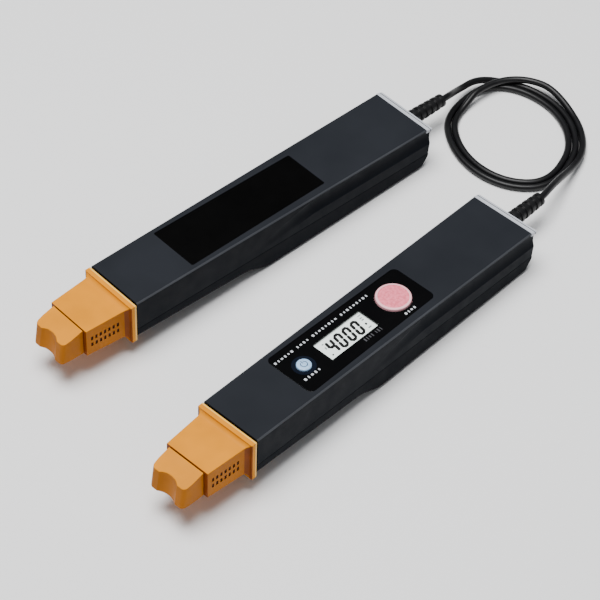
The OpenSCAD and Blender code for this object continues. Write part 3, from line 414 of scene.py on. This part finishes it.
finishes = {
    "shell": {"tone": (0.0085, 0.0098, 0.013), "gloss": (0.46, 0.6), "grain": 0.4, "drift": 0.07,
              "specular": 0.04},
    "lowerShell": {"tone": (0.0062, 0.0072, 0.0098), "gloss": (0.46, 0.6), "grain": 0.4, "drift": 0.07,
                   "specular": 0.03},
    # painted light: the top faces get a lighter copy of the shell's tone, as if lit from above
    "deck": {"tone": (0.0165, 0.0183, 0.0225), "gloss": (0.46, 0.6), "grain": 0.4, "drift": 0.09,
             "specular": 0.04},
    # painted highlight: a light grey for the bevel along the deck's long edges
    "deckEdgeHighlight": {"tone": (0.042, 0.045, 0.052), "gloss": (0.3, 0.42), "grain": 0.15, "drift": 0.1,
                  "specular": 0.3},
    "orange": {"tone": (0.7, 0.25, 0.003), "gloss": (0.4, 0.52), "grain": 0.2, "drift": 0.06,
               "driftScale": 60, "specular": 0.1},
    # painted highlight: a light yellow-orange for the flange's outer rim
    "orangeRimHighlight": {"tone": (0.95, 0.52, 0.09), "gloss": (0.3, 0.4), "grain": 0.1, "drift": 0.04,
                   "specular": 0.35},
    # painted shade: a darker orange for the side, front and under faces of the tip
    "orangeShadeSide": {"tone": (0.4, 0.125, 0.0016), "gloss": (0.42, 0.54), "grain": 0.2, "drift": 0.1,
                   "driftScale": 70, "specular": 0.08},
    # painted shade: a dark brown-orange for the hollow in front of the flange and the sleeve's front end
    "orangeDeepShade": {"tone": (0.2, 0.045, 0.002), "gloss": (0.42, 0.54), "grain": 0.2, "drift": 0.15,
                   "driftScale": 90, "specular": 0.1},
    "engraved": {"tone": (0.05, 0.01, 0.002), "gloss": (0.55, 0.65), "grain": 0.2, "drift": 0.3,
                 "driftScale": 500, "specular": 0.1},
    "trim": {"tone": (0.52, 0.54, 0.585), "gloss": (0.26, 0.38), "grain": 0.12, "drift": 0.05},
    "glossPanel": {"tone": (0.0011, 0.0011, 0.0013), "gloss": (0.14, 0.22), "grain": 0.02, "drift": 0.2,
                   "specular": 0.14},
    "mattePanel": {"tone": (0.001, 0.001, 0.001), "gloss": (0.42, 0.52), "grain": 0.12, "drift": 0.2,
                   "specular": 0.03},
    "pink": {"tone": (0.98, 0.2, 0.27), "gloss": (0.44, 0.58), "grain": 0.5, "drift": 0.2,
             "driftScale": 620, "specular": 0.15},
    # painted light: a paler pink for the button's rim and side wall, a painted highlight on the rim that
    # also takes the shade off the side wall
    "pinkRimPaintedLight": {"tone": (0.98, 0.5, 0.55), "gloss": (0.3, 0.4), "grain": 0.1, "drift": 0.05,
                "specular": 0.3},
    "blue": {"tone": (0.36, 0.57, 0.84), "gloss": (0.32, 0.45), "grain": 0.2, "drift": 0.1,
             "driftScale": 700},
    "symbol": {"tone": (0.04, 0.08, 0.14), "gloss": (0.4, 0.5), "grain": 0.05, "drift": 0.1},
    "rubber": {"tone": (0.0035, 0.0035, 0.0042), "gloss": (0.34, 0.46), "grain": 0.2, "drift": 0.15,
               "specular": 0.3},
    "relief": {"tone": (0.004, 0.004, 0.0045), "gloss": (0.36, 0.5), "grain": 0.3, "drift": 0.15,
               "specular": 0.32},
    "dark": {"tone": (0.02, 0.02, 0.022), "gloss": (0.5, 0.6), "grain": 0.2, "specular": 0.3},
    "ink": {"tone": (0.002, 0.002, 0.0025), "gloss": (0.5, 0.6), "grain": 0.02, "specular": 0.1},
    "greySegments": {"tone": (0.3, 0.34, 0.34), "gloss": (0.5, 0.6), "grain": 0.02, "specular": 0.1},
    "whiteInk": {"tone": (0.52, 0.54, 0.57), "gloss": (0.5, 0.6), "grain": 0.05, "specular": 0.2},
    "greyInk": {"tone": (0.06, 0.06, 0.066), "gloss": (0.5, 0.6), "grain": 0.05, "specular": 0.2},
    "halo": {"tone": (0.0014, 0.0036, 0.0105), "gloss": (0.22, 0.32), "grain": 0.05, "specular": 0.2},
    "board": {"tone": (0.02, 0.12, 0.05), "gloss": (0.3, 0.4), "grain": 0.2},
    "foam": {"tone": (0.05, 0.05, 0.05), "gloss": (0.8, 0.9), "grain": 0.8, "grainScale": 900},
    "wire": {"tone": (0.3, 0.03, 0.03), "gloss": (0.35, 0.45), "grain": 0.1},
    # the display ground has a painted glow that makes it look lit
    "greyGround": {"tone": (0.8, 0.88, 0.84), "gloss": (0.3, 0.4), "grain": 0.05, "drift": 0.03,
                   "specular": 0.2, "paintedGlow": 0.7},
}
paint = {name: plastic(name, spec) for name, spec in finishes.items()}

metals = {
    "steel": {"tone": (0.62, 0.62, 0.64), "gloss": (0.28, 0.43)},
    "brass": {"tone": (0.78, 0.55, 0.24), "gloss": (0.3, 0.45)},
}
brushing = {
    "scale": 300, "roughness": 0.6, "stretch": (1, 0.06, 1), "darker": 0.85, "bump": 0.1, "depth": 0.00005,
}


def metal(name, s, brush):
    material, tree, shader = makeMaterial(name)
    brushed = addNoise(tree, brush["scale"], 3, brush["roughness"], brush["stretch"])
    darker = tuple(c * brush["darker"] for c in s["tone"])
    ramp = addRamp(tree, brushed.outputs["Fac"], [(0.3, darker), (0.7, s["tone"])])
    tree.links.new(ramp.outputs["Color"], shader.inputs["Base Color"])
    addGloss(tree, shader, brushed.outputs["Fac"], s["gloss"])
    shader.inputs["Metallic"].default_value = 1
    addBump(tree, shader, brushed.outputs["Fac"], brush["bump"], brush["depth"])
    return material


for name, spec in metals.items():
    paint[name] = metal(name, spec, brushing)

windowLook = {"tone": (0.12, 0.125, 0.12), "gloss": (0.03, 0.08), "hazeScale": 90, "alpha": 0.03}


def clearWindow(name, s):
    material, tree, shader = makeMaterial(name)
    haze = addNoise(tree, s["hazeScale"], 3)
    addGloss(tree, shader, haze.outputs["Fac"], s["gloss"])
    shader.inputs["Base Color"].default_value = (*s["tone"], 1)
    shader.inputs["Alpha"].default_value = s["alpha"]
    return material


paint["window"] = clearWindow("window", windowLook)

batteryLook = {
    "can": (0.02, 0.02, 0.022), "band": (0.55, 0.4, 0.12), "bandFrom": (0.045, 0.0455),
    "gloss": (0.2, 0.34), "smearScale": 120, "metallic": 0.6,
}


def batteryPaint(name, s):  # a dark can with a copper band at one end
    material, tree, shader = makeMaterial(name)
    coords = tree.nodes.new("ShaderNodeTexCoord")
    parts = tree.nodes.new("ShaderNodeSeparateXYZ")
    tree.links.new(coords.outputs["Object"], parts.inputs["Vector"])
    ramp = addRamp(tree, parts.outputs["Y"], [(s["bandFrom"][0], s["can"]), (s["bandFrom"][1], s["band"])])
    tree.links.new(ramp.outputs["Color"], shader.inputs["Base Color"])
    smear = addNoise(tree, s["smearScale"], 3)
    addGloss(tree, shader, smear.outputs["Fac"], s["gloss"])
    shader.inputs["Metallic"].default_value = s["metallic"]
    return material


paint["battery"] = batteryPaint("battery", batteryLook)
print("materials are made")

giveMaterial(cord, paint["rubber"])

# The inner parts and the display window keep the shapes they have in the CAD.
carried = {
    "hold_switch": "dark", "power_switch": "dark", "main_board": "board", "main_board_parts": "dark",
    "main_board_screws": "steel", "battery": "battery", "battery_pad": "foam", "battery_clip": "dark",
    "battery_leads": "wire", "main_wires": "wire", "main_electrode": "brass", "main_sensor_lead": "dark",
    "main_cord_clamp": "dark", "main_cord_tail": "rubber", "main_case_screws": "steel",
    "second_board": "board", "second_board_parts": "dark", "second_board_screws": "steel",
    "second_wires": "wire", "second_electrode": "brass", "second_sensor_lead": "dark",
    "second_cord_clamp": "dark", "second_cord_tail": "rubber", "second_case_screws": "steel",
    "display_window": "window", "lcd_frame": "dark", "lcd_glass": "greyGround",
}
for nodeName, paintName in carried.items():
    node = nodes[nodeName]
    if not node.material_slots:
        node.data.materials.append(paint[paintName])
    for place in node.material_slots:
        place.material = paint[paintName]


def paintFaces(piece, material, rule, byCorners=False):  # gives some faces of a piece a second finish
    if material.name not in piece.data.materials:
        piece.data.materials.append(material)
    place = list(piece.data.materials).index(material)
    corners = piece.data.vertices
    if byCorners:
        picked = [face for face in piece.data.polygons if all(rule(corners[i].co) for i in face.vertices)]
    else:
        picked = [face for face in piece.data.polygons if rule(face.center, face.normal)]
    for face in picked:
        face.material_index = place
    return len(picked)


def bisectAt(piece, at, normal):
    pickOnly(piece)
    bpy.ops.object.mode_set(mode="EDIT")
    bpy.ops.mesh.select_all(action="SELECT")
    bpy.ops.mesh.bisect(plane_co=at, plane_no=normal)
    bpy.ops.object.mode_set(mode="OBJECT")


def roundedBlock(size, radius, segments=2):  # the one block that a row of marks is copied from
    bpy.ops.object.select_all(action="DESELECT")
    bpy.ops.mesh.primitive_cube_add(size=1)
    block = bpy.context.object
    block.scale = size
    bakePlace(block)
    roundEdges(block, lambda a, b: abs(a.z - b.z) > size[2] / 2, radius, segments)
    return block


def joinAll(pieces, name):
    bpy.ops.object.select_all(action="DESELECT")
    for piece in pieces:
        piece.select_set(True)
    bpy.context.view_layer.objects.active = pieces[0]
    bpy.ops.object.join()
    pieces[0].name = name
    bakePlace(pieces[0])
    return pieces[0]


def stampBlock(block, places):  # copies a block to (x, y, z, x stretch, y stretch, turn) places
    made = []
    for x, y, z, wide, long, turn in places:
        twin = block.copy()
        twin.data = block.data.copy()
        bpy.context.scene.collection.objects.link(twin)
        twin.matrix_world = (Matrix.Translation((x, y, z)) @ Matrix.Rotation(math.radians(turn), 4, "Z")
                             @ Matrix.Diagonal((wide, long, 1, 1)))
        made.append(twin)
    bpy.data.objects.remove(block)
    return made


# The widths of the rounded edges come first, then where each edge and each painted face is found.
shellEdges = {
    "longUnder": 2.2, "rear": 1.1, "parting": 0.22, "deck": 0.55, "recess": 0.3,
    "wallSlack": 0.06, "underSlack": 0.12, "underSlope": 0.6, "partingSlack": 0.02, "partingRear": 202,
    "rearFrom": 200.5, "rearHeight": 0.5, "deckWallSlack": 0.8, "deckLineFrom": 30.2, "deckLineLength": 5,
    "recessSlack": 0.01, "recessHalf": 16, "recessSpan": (5, 190),
    "deckFacing": 0.9, "deckFrom": 30.5, "edgeFacing": (0.2, 0.97), "edgeFrom": 30.1,
}


def nearWall(p, slack=shellEdges["wallSlack"]):
    return abs(p.x) > halfWidth(p.y) - slack


def isLongUnder(a, b):
    s = shellEdges
    level = all(abs(p.z - undersideAt(p.y)) < s["underSlack"] for p in (a, b))
    return nearWall(a) and nearWall(b) and level and abs(a.y - b.y) > abs(a.z - b.z) * s["underSlope"]


def isParting(a, b):
    slack = shellEdges["partingSlack"]
    level = all(abs(p.z - caseShape["parting"]) < slack for p in (a, b))
    atEnd = max(a.y, b.y) < slack or min(a.y, b.y) > shellEdges["partingRear"]
    return level and (atEnd or nearWall(a) and nearWall(b))


def isRearSide(a, b):
    upright = abs(a.z - b.z) > shellEdges["rearHeight"]
    return min(a.y, b.y) > shellEdges["rearFrom"] and nearWall(a) and nearWall(b) and upright


def isDeckLine(a, b):
    s = shellEdges
    return (nearWall(a, s["deckWallSlack"]) and nearWall(b, s["deckWallSlack"])
            and min(a.z, b.z) > s["deckLineFrom"] and abs(a.y - b.y) > s["deckLineLength"])


def isRecess(a, b):
    s = shellEdges
    onDeck = all(abs(p.z - caseShape["deck"]) < s["recessSlack"] for p in (a, b))
    inSpan = all(s["recessSpan"][0] < p.y < s["recessSpan"][1] for p in (a, b))
    return onDeck and inSpan and max(abs(a.x), abs(b.x)) < s["recessHalf"]


# picks the top faces of the upper shell that take the painted light
def isLitTopFace(at, n):
    return n.z > shellEdges["deckFacing"] and at.z > shellEdges["deckFrom"]


# picks the sloped bevel faces along the deck's long edges that take the painted highlight
def isHighlightBevel(at, n):
    s = shellEdges
    sloped = s["edgeFacing"][0] < n.z < s["edgeFacing"][1]
    return sloped and at.z > s["edgeFrom"] and nearWall(at, s["deckWallSlack"])


def makeShells(wand, s):
    upper = copyOfNode(wand + "_upper_case", wand + "UpperShell", wand)
    lower = copyOfNode(wand + "_lower_case", wand + "LowerShell", wand)
    roundEdges(lower, isLongUnder, s["longUnder"], 5)
    for piece in (upper, lower):
        roundEdges(piece, isRearSide, s["rear"], 3)
        roundEdges(piece, isParting, s["parting"], 1)
    roundEdges(upper, isDeckLine, s["deck"], 3)
    roundEdges(upper, isRecess, s["recess"], 2, sharpness["square"])
    for piece, finish in ((upper, "shell"), (lower, "lowerShell")):
        smoothPiece(piece)
        giveMaterial(piece, paint[finish])
    # painted light: the top faces take the lighter deck tone, so the top reads lit and the sides shaded
    paintFaces(upper, paint["deck"], isLitTopFace)
    # painted highlight on the sloped bevel faces along the deck's long edges
    edges = paintFaces(upper, paint["deckEdgeHighlight"], isHighlightBevel)
    finishPiece(upper, wand, None, replaced=[wand + "_upper_case"])
    finishPiece(lower, wand, None, replaced=[wand + "_lower_case"])
    print(wand, "shells, edge faces:", edges)


for wand in ("main", "second"):
    makeShells(wand, shellEdges)

trimShape = {
    "edge": 0.3, "corner": 1.1, "cornerFrom": 203, "cornerSide": 18, "cornerHeight": 0.5,
    "grooveFrom": 202.5, "grooveTo": 202.95, "grooveDepth": 0.3, "grooveFacing": 0.1, "slack": 0.01,
}


def makeTrim(wand, s):
    def isRearCorner(a, b):
        outside = min(abs(a.x), abs(b.x)) > s["cornerSide"]
        return min(a.y, b.y) > s["cornerFrom"] and outside and abs(a.z - b.z) > s["cornerHeight"]

    def isGrooveTop(at, n):
        return s["grooveFrom"] < at.y < s["grooveTo"] and n.z > s["grooveFacing"]

    def isGroove(at, n):
        return s["grooveFrom"] - s["slack"] < at.y < s["grooveTo"] + s["slack"]

    trim = copyOfNode(wand + "_end_trim", wand + "EndTrim", wand)
    roundEdges(trim, isRearCorner, s["corner"], 3)
    roundEdges(trim, lambda a, b: True, s["edge"], 3)
    for y in (s["grooveFrom"], s["grooveTo"]):
        bisectAt(trim, (0, y, 0), (0, 1, 0))
    selectFaces(trim, isGrooveTop)
    bpy.ops.mesh.extrude_region_move(TRANSFORM_OT_translate={"value": (0, 0, -s["grooveDepth"])})
    bpy.ops.object.mode_set(mode="OBJECT")
    smoothPiece(trim)
    giveMaterial(trim, paint["trim"])
    paintFaces(trim, paint["dark"], isGroove)
    finishPiece(trim, wand, None, replaced=[wand + "_end_trim"])


# The widths of the rounded edges come first, then where each edge and each painted face is found.
tipShape = {
    "edge": 0.45, "mouth": 0.3, "flange": 0.5, "noseEdge": 0.35, "smoothAngle": 34,
    "top": 26.4, "bottom": 11.4, "wallAt": -0.5, "cornerSide": 13, "mouthAt": -29.0, "mouthSide": 12.5,
    "flangeAt": -4.2, "flangeSide": 17, "level": 0.1,
    "sideFacing": 0.35, "sideTo": -3.3, "widestFacing": 0.9, "widestSide": 12, "widestTo": -6,
    "markDepth": 0.6, "markSkin": 0.02, "markSpan": (-27, -7), "markHeights": (13, 25),
    "coveSpan": (-8, -3.2), "coveFacing": -0.15, "coveSide": 14.5, "coveHeights": (12, 26.2),
    "frontAt": -28.5, "frontFacing": -0.6, "highlightSpan": (-1.7, -0.1), "highlightFacing": 0.97,
    "noseFrom": -29.3, "notchHalf": 3, "notchTo": -35,
}


def widestSide(piece, s, side):  # the middle and the direction of a sleeve's widest face on one side
    sideFaces = [face for face in piece.data.polygons if face.normal.x * side > s["widestFacing"]
                 and face.center.x * side > s["widestSide"] and face.center.y < s["widestTo"]]
    widest = max(sideFaces, key=lambda face: face.area)
    return widest.center.copy(), widest.normal.copy()


def makeSleeve(wand, s):
    def isOuter(p):
        return p.z > s["top"] or p.z < s["bottom"]

    def isLongCorner(a, b):
        outside = min(abs(a.x), abs(b.x)) > s["cornerSide"]
        return isOuter(a) and isOuter(b) and max(a.y, b.y) < s["wallAt"] and outside

    def isMouthRim(a, b):
        return max(a.y, b.y) < s["mouthAt"] and all(abs(p.x) > s["mouthSide"] or isOuter(p) for p in (a, b))

    def isFlangeRim(a, b):
        inSpan = min(a.y, b.y) > s["flangeAt"] and max(a.y, b.y) < s["wallAt"]
        across = abs(a.y - b.y) < s["level"]
        return inSpan and across and (max(abs(a.x), abs(b.x)) > s["flangeSide"] or isOuter(a))

    # picks the faces turned away from the top, for the painted shade
    def isShadeSide(at, n):
        return n.z < s["sideFacing"] and at.y < s["sideTo"]

    def isShaded(at, n):  # painted shade on the hollow in front of the flange and on the sleeve's front end
        inCove = s["coveSpan"][0] < at.y < s["coveSpan"][1] and n.y < s["coveFacing"]
        atSide = abs(at.x) > s["coveSide"] and s["coveHeights"][0] < at.z < s["coveHeights"][1]
        return inCove and atSide or at.y < s["frontAt"] and n.y < s["frontFacing"]

    # picks the flange's outer rim faces that take the painted highlight
    def isHighlightRim(at, n):
        inSpan = s["highlightSpan"][0] < at.y < s["highlightSpan"][1]
        return inSpan and abs(n.y) < s["highlightFacing"] and (abs(at.x) > s["flangeSide"] or isOuter(at))

    sleeve = copyOfNode(wand + "_tip_sleeve", wand + "TipSleeve", wand)
    roundEdges(sleeve, isLongCorner, s["edge"], 3, sharpness["steep"])
    roundEdges(sleeve, isMouthRim, s["mouth"], 2, sharpness["steep"])
    roundEdges(sleeve, isFlangeRim, s["flange"], 3, sharpness["steep"])
    # cuts the flange where the painted highlight on its rim starts
    bisectAt(sleeve, (0, s["highlightSpan"][0], 0), (0, 1, 0))
    smoothPiece(sleeve, s["smoothAngle"])
    giveMaterial(sleeve, paint["orange"])
    # painted shade on the sleeve's side, front and under faces
    counts = [paintFaces(sleeve, paint["orangeShadeSide"], isShadeSide)]
    for side in (-1, 1):
        middle, normal = widestSide(sleeve, s, side)

        def isMark(at, n):  # the faces of the marks cut into the side
            depth = -(at - middle).dot(normal)
            inSpan = s["markSpan"][0] < at.y < s["markSpan"][1]
            inHeight = s["markHeights"][0] < at.z < s["markHeights"][1]
            return s["markSkin"] < depth < s["markDepth"] and inSpan and inHeight

        counts.append(paintFaces(sleeve, paint["engraved"], isMark))
    # painted shade on the hollow in front of the flange and on the sleeve's front end
    counts.append(paintFaces(sleeve, paint["orangeDeepShade"], isShaded))
    # painted highlight on the flange's outer rim
    counts.append(paintFaces(sleeve, paint["orangeRimHighlight"], isHighlightRim))
    print(wand, "sleeve faces painted:", counts)
    finishPiece(sleeve, wand, None, replaced=[wand + "_tip_sleeve"])


def makeNose(wand, s):
    def isOutside(a, b):
        return max(a.y, b.y) < s["noseFrom"] and (abs(a.x) > s["notchHalf"] or a.y < s["notchTo"])

    nose = copyOfNode(wand + "_tip_nose", wand + "TipNose", wand)
    roundEdges(nose, isOutside, s["noseEdge"], 3, sharpness["steep"])
    smoothPiece(nose, s["smoothAngle"])
    giveMaterial(nose, paint["orange"])
    # painted shade on the nose's side, front and under faces
    paintFaces(nose, paint["orangeShadeSide"], lambda at, n: n.z < s["sideFacing"])
    finishPiece(nose, wand, None, replaced=[wand + "_tip_nose"])


for wand in ("main", "second"):
    makeTrim(wand, trimShape)
    makeSleeve(wand, tipShape)
    makeNose(wand, tipShape)
print("trims and tips are made")

panelShape = {
    "top": 30.8, "edge": 0.2, "edgeSlack": 0.1, "inkHeight": 0.06, "inkSink": 0.02, "cornerShare": 0.3,
    "longRow": {"x": -10.5, "from": 41.4, "groups": (6, 4, 8, 9), "pitch": 2.3, "gap": 1.8,
                "block": (1.5, 1.3)},
    "powerRow": {"x": 7.0, "from": 44.2, "groups": (5,), "pitch": 2.4, "gap": 0, "block": (1.7, 1.4)},
    "holdRow": {"x": 11.8, "from": 111.6, "groups": (4,), "pitch": 2.1, "gap": 0, "block": (1.5, 1.3)},
    "greyRow": {"x": 9.7, "from": 84.0, "groups": (4, 3), "pitch": 1.7, "gap": 1.0, "block": (2.2, 0.8)},
    "lengths": (1.0, 0.62, 1.0, 0.8, 0.62), "widths": (1.0, 1.0, 0.72, 1.0, 0.8),
}


def rowPlaces(s, row):  # plain marks of changing length, in groups
    places, y, count = [], row["from"], 0
    for group in row["groups"]:
        for _ in range(group):
            k = count % len(s["lengths"])
            places.append((row["x"], y, s["top"] + s["inkHeight"] / 2 - s["inkSink"], s["widths"][k],
                           s["lengths"][k], 0))
            y += row["pitch"]
            count += 1
        y += row["gap"]
    return places


def makeMarks(s, name, rowNames, finish):
    made = []
    for rowName in rowNames:
        row = s[rowName]
        block = roundedBlock((*row["block"], s["inkHeight"]), min(row["block"]) * s["cornerShare"])
        made += stampBlock(block, rowPlaces(s, row))
    marks = joinAll(made, name)
    finishPiece(marks, "main", paint[finish])


def makePanels(s):
    def isTopEdge(a, b):
        return min(a.z, b.z) > s["top"] - s["edgeSlack"]

    panel = copyOfNode("display_panel", "displayPanel", "main")
    roundEdges(panel, isTopEdge, s["edge"], 2, sharpness["square"])
    smoothPiece(panel)
    finishPiece(panel, "main", paint["glossPanel"], replaced=["display_panel"])
    blank = copyOfNode("blank_panel", "blankPanel", "second")
    roundEdges(blank, isTopEdge, s["edge"], 2, sharpness["square"])
    smoothPiece(blank)
    finishPiece(blank, "second", paint["mattePanel"], replaced=["blank_panel"])
    makeMarks(s, "panelMarks", ("longRow", "powerRow", "holdRow"), "whiteInk")
    makeMarks(s, "panelGreyMarks", ("greyRow",), "greyInk")


makePanels(panelShape)
print("panels and their marks are made")

digitShape = {
    "glassTop": 29.3, "sink": 0.01, "thickness": 0.12, "height": 8.5, "width": 3.15, "bar": 1.65,
    "barRound": 0.4, "markRound": 0.1, "slant": 9.0, "pitch": 6.0, "baseX": 4.75, "startY": 68.2,
    "blackMarks": [(24.8, 3.2, 1.1, 1.3), (-1.6, 0.4, 0.9, 0.9)],
    "greyMarks": [(25.0, 7.6, 1.5, 0.7), (25.1, 6.2, 1.5, 0.7), (25.1, 0.4, 2.0, 0.8),
                  (25.4, 9.4, 2.2, 0.5), (-1.9, 5.8, 0.8, 1.6), (-1.7, 8.6, 1.2, 0.6)],
}
litBars = {"4": "fgbc", "0": "abcdef"}


def barPlace(s, bar):  # middle and direction of a digit's bar
    w, h = s["width"], s["height"]
    return {"a": (w / 2, h, 0), "g": (w / 2, h / 2, 0), "d": (w / 2, 0, 0), "f": (0, h * 3 / 4, 90),
            "b": (w, h * 3 / 4, 90), "e": (0, h / 4, 90), "c": (w, h / 4, 90)}[bar]


def stampMarks(s, marks):
    block = roundedBlock((1, 1, s["thickness"]), s["markRound"], 1)
    return stampBlock(block, [(u, v, 0, wide, high, 0) for u, v, wide, high in marks])


def makeDigits(s, reading):
    height = s["glassTop"] + s["thickness"] / 2 - s["sink"]
    slanted = Matrix(((0, -1, 0, s["baseX"]), (1, math.tan(math.radians(s["slant"])), 0, s["startY"]),
                      (0, 0, 1, height), (0, 0, 0, 1)))
    made = []
    for turned, length in ((0, s["width"]), (90, s["height"] / 2)):
        block = roundedBlock((length, s["bar"], s["thickness"]), s["bar"] * s["barRound"], 1)
        places = []
        for i, digit in enumerate(reading):
            for bar in litBars[digit]:
                u, v, turn = barPlace(s, bar)
                if turn == turned:
                    places.append((i * s["pitch"] + u, v, 0, 1, 1, turn))
        made += stampBlock(block, places)
    made += stampMarks(s, s["blackMarks"])
    digits = joinAll(made, "displayDigits")
    digits.data.transform(slanted)
    finishPiece(digits, "main", paint["ink"], replaced=["lcd_digits"])
    grey = joinAll(stampMarks(s, s["greyMarks"]), "displayGreyMarks")
    grey.data.transform(slanted)
    finishPiece(grey, "main", paint["greySegments"])


makeDigits(digitShape, "4000")
print("digits are made")

buttonShape = {
    "hold": {"y": 115.3, "radius": 9.3, "rim": 1.3, "rimSlack": 0.1,
             "steps": [(1.9, 0.1), (2.2, 0.06), (2.2, 0.02)]},
    "power": {"y": 50.4, "top": 31.7, "steps": [(0.5, 0.08), (0.9, 0.04)]},
    "halo": {"inner": 4.15, "outer": 6.2, "height": 0.05, "sink": 0.01, "corners": 72},
    "ring": {"radius": 1.75, "tube": 0.24, "flat": 0.3, "gap": 28.0},
    "bar": {"size": (1.9, 0.42, 0.12), "round": 0.18, "inset": 0.25},
    "topFacing": 0.99, "slack": 0.01,
}


def crownTop(piece, steps):  # raises the widest top face in rings
    facing, slack = buttonShape["topFacing"], buttonShape["slack"]
    topFaces = [face for face in piece.data.polygons if face.normal.z > facing]
    middle = max(topFaces, key=lambda face: face.area).center.copy()
    selectFaces(piece, lambda at, n: n.z > facing and (at - middle).length < slack)
    for thickness, rise in steps:
        bpy.ops.mesh.inset(thickness=thickness, depth=rise)
    bpy.ops.object.mode_set(mode="OBJECT")


def makeHoldButton(s):
    cap = copyOfNode("hold_button", "holdButton", "main")
    crownTop(cap, s["steps"])
    smoothPiece(cap, meshCare["roundSmoothAngle"], False)
    giveMaterial(cap, paint["pink"])
    middle = Vector((0, s["y"]))
    inside = s["radius"] - s["rim"] - s["rimSlack"]
    # painted light: the rim and side wall of the hold button take the paler pink
    count = paintFaces(cap, paint["pinkRimPaintedLight"], lambda at: (at.xy - middle).length > inside, byCorners=True)
    print("rim faces", count)
    finishPiece(cap, "main", None, "hold_button", ["hold_button"])


def makePowerButton(s):
    cap = copyOfNode("power_button", "powerButton", "main")
    crownTop(cap, s["steps"])
    smoothPiece(cap, meshCare["roundSmoothAngle"], False)
    finishPiece(cap, "main", paint["blue"], "power_button", ["power_button"])


def makePowerSymbol(s):  # an open ring and a bar, on top of the power button
    bpy.ops.object.select_all(action="DESELECT")
    bpy.ops.mesh.primitive_torus_add(major_radius=s["ring"]["radius"], minor_radius=s["ring"]["tube"],
                                     major_segments=60, minor_segments=8)
    ring = bpy.context.object
    ring.scale = (1, 1, s["ring"]["flat"])
    bakePlace(ring)
    gap = math.cos(math.radians(s["ring"]["gap"]))
    selectFaces(ring, lambda at, n: -at.x > at.xy.length * gap)
    bpy.ops.mesh.delete(type="FACE")
    bpy.ops.mesh.select_all(action="SELECT")
    bpy.ops.mesh.fill_holes(sides=0)
    bpy.ops.object.mode_set(mode="OBJECT")
    block = roundedBlock(s["bar"]["size"], s["bar"]["round"])
    bar = stampBlock(block, [(s["bar"]["inset"] - s["ring"]["radius"], 0, 0, 1, 1, 0)])
    symbol = joinAll([ring] + bar, "powerSymbol")
    top = s["power"]["top"] + sum(rise for _, rise in s["power"]["steps"])
    symbol.data.transform(Matrix.Translation((0, s["power"]["y"], top)))
    finishPiece(symbol, "main", paint["symbol"], "power_button")


def makeHalo(s, middleY):  # the tinted ring on the panel round the power button
    bpy.ops.object.select_all(action="DESELECT")
    bpy.ops.mesh.primitive_circle_add(vertices=s["corners"], radius=s["outer"], fill_type="NGON",
                                      location=(0, middleY, panelShape["top"] - s["sink"]))
    halo = bpy.context.object
    halo.name = "powerHalo"
    bakePlace(halo)
    selectFaces(halo, lambda at, n: True)
    bpy.ops.mesh.inset(thickness=s["outer"] - s["inner"])
    bpy.ops.mesh.delete(type="FACE")
    bpy.ops.object.mode_set(mode="OBJECT")
    thick = halo.modifiers.new("thick", "SOLIDIFY")
    thick.thickness = s["height"]
    thick.offset = 1
    applyModifiers(halo)
    smoothPiece(halo, meshCare["roundSmoothAngle"], False)
    finishPiece(halo, "main", paint["halo"])


makeHoldButton(buttonShape["hold"])
makePowerButton(buttonShape["power"])
makePowerSymbol(buttonShape)
makeHalo(buttonShape["halo"], buttonShape["power"]["y"])
print("buttons are made")

domeTravel = {"hold": 0.8, "power": 0.6}


def makeDome(button):  # a copy of the spring dome under a button, with a mesh of its own
    dome = copyOfNode(button + "_dome", button + "Dome", "main")
    smoothPiece(dome, meshCare["roundSmoothAngle"], False)
    finishPiece(dome, "main", paint["steel"], replaced=[button + "_dome"])
    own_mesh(dome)


for button, travel in domeTravel.items():
    makeDome(button)

coverShape = {"edge": 0.25}


def makeCover(s):
    cover = copyOfNode("battery_cover", "batteryCover", "main")
    roundEdges(cover, lambda a, b: True, s["edge"], 2, sharpness["steep"])
    smoothPiece(cover)
    finishPiece(cover, "main", paint["lowerShell"], "battery_cover", ["battery_cover"])


makeCover(coverShape)

reliefShape = {"wallAt": 204.7, "swell": 1.5, "atWall": 1.1, "atTip": 1.42, "edge": 0.14, "bore": 2.2}


def makeRelief(wand, s):
    relief = copyOfNode(wand + "_strain_relief", wand + "StrainRelief", wand)
    roundEdges(relief, lambda a, b: True, s["edge"], 2, sharpness["steep"])
    reach = cordShape["reliefEnd"] - s["wallAt"]
    for corner in relief.data.vertices:  # fuller towards the cord, as photographed, with its bore kept
        along = corner.co.y - s["wallAt"]
        out = Vector((corner.co.x, 0, corner.co.z - cordShape["axisHeight"]))
        if along > 0 and out.length > s["bore"]:
            fuller = (s["atWall"] - 1) * ease(along / s["swell"])
            fuller += (s["atTip"] - s["atWall"]) * along / reach
            corner.co += out * fuller
    smoothPiece(relief)
    finishPiece(relief, wand, paint["relief"], replaced=[wand + "_strain_relief"])


for wand in ("main", "second"):
    makeRelief(wand, reliefShape)
print("cover and strain reliefs are made")

bpy.context.view_layer.update()
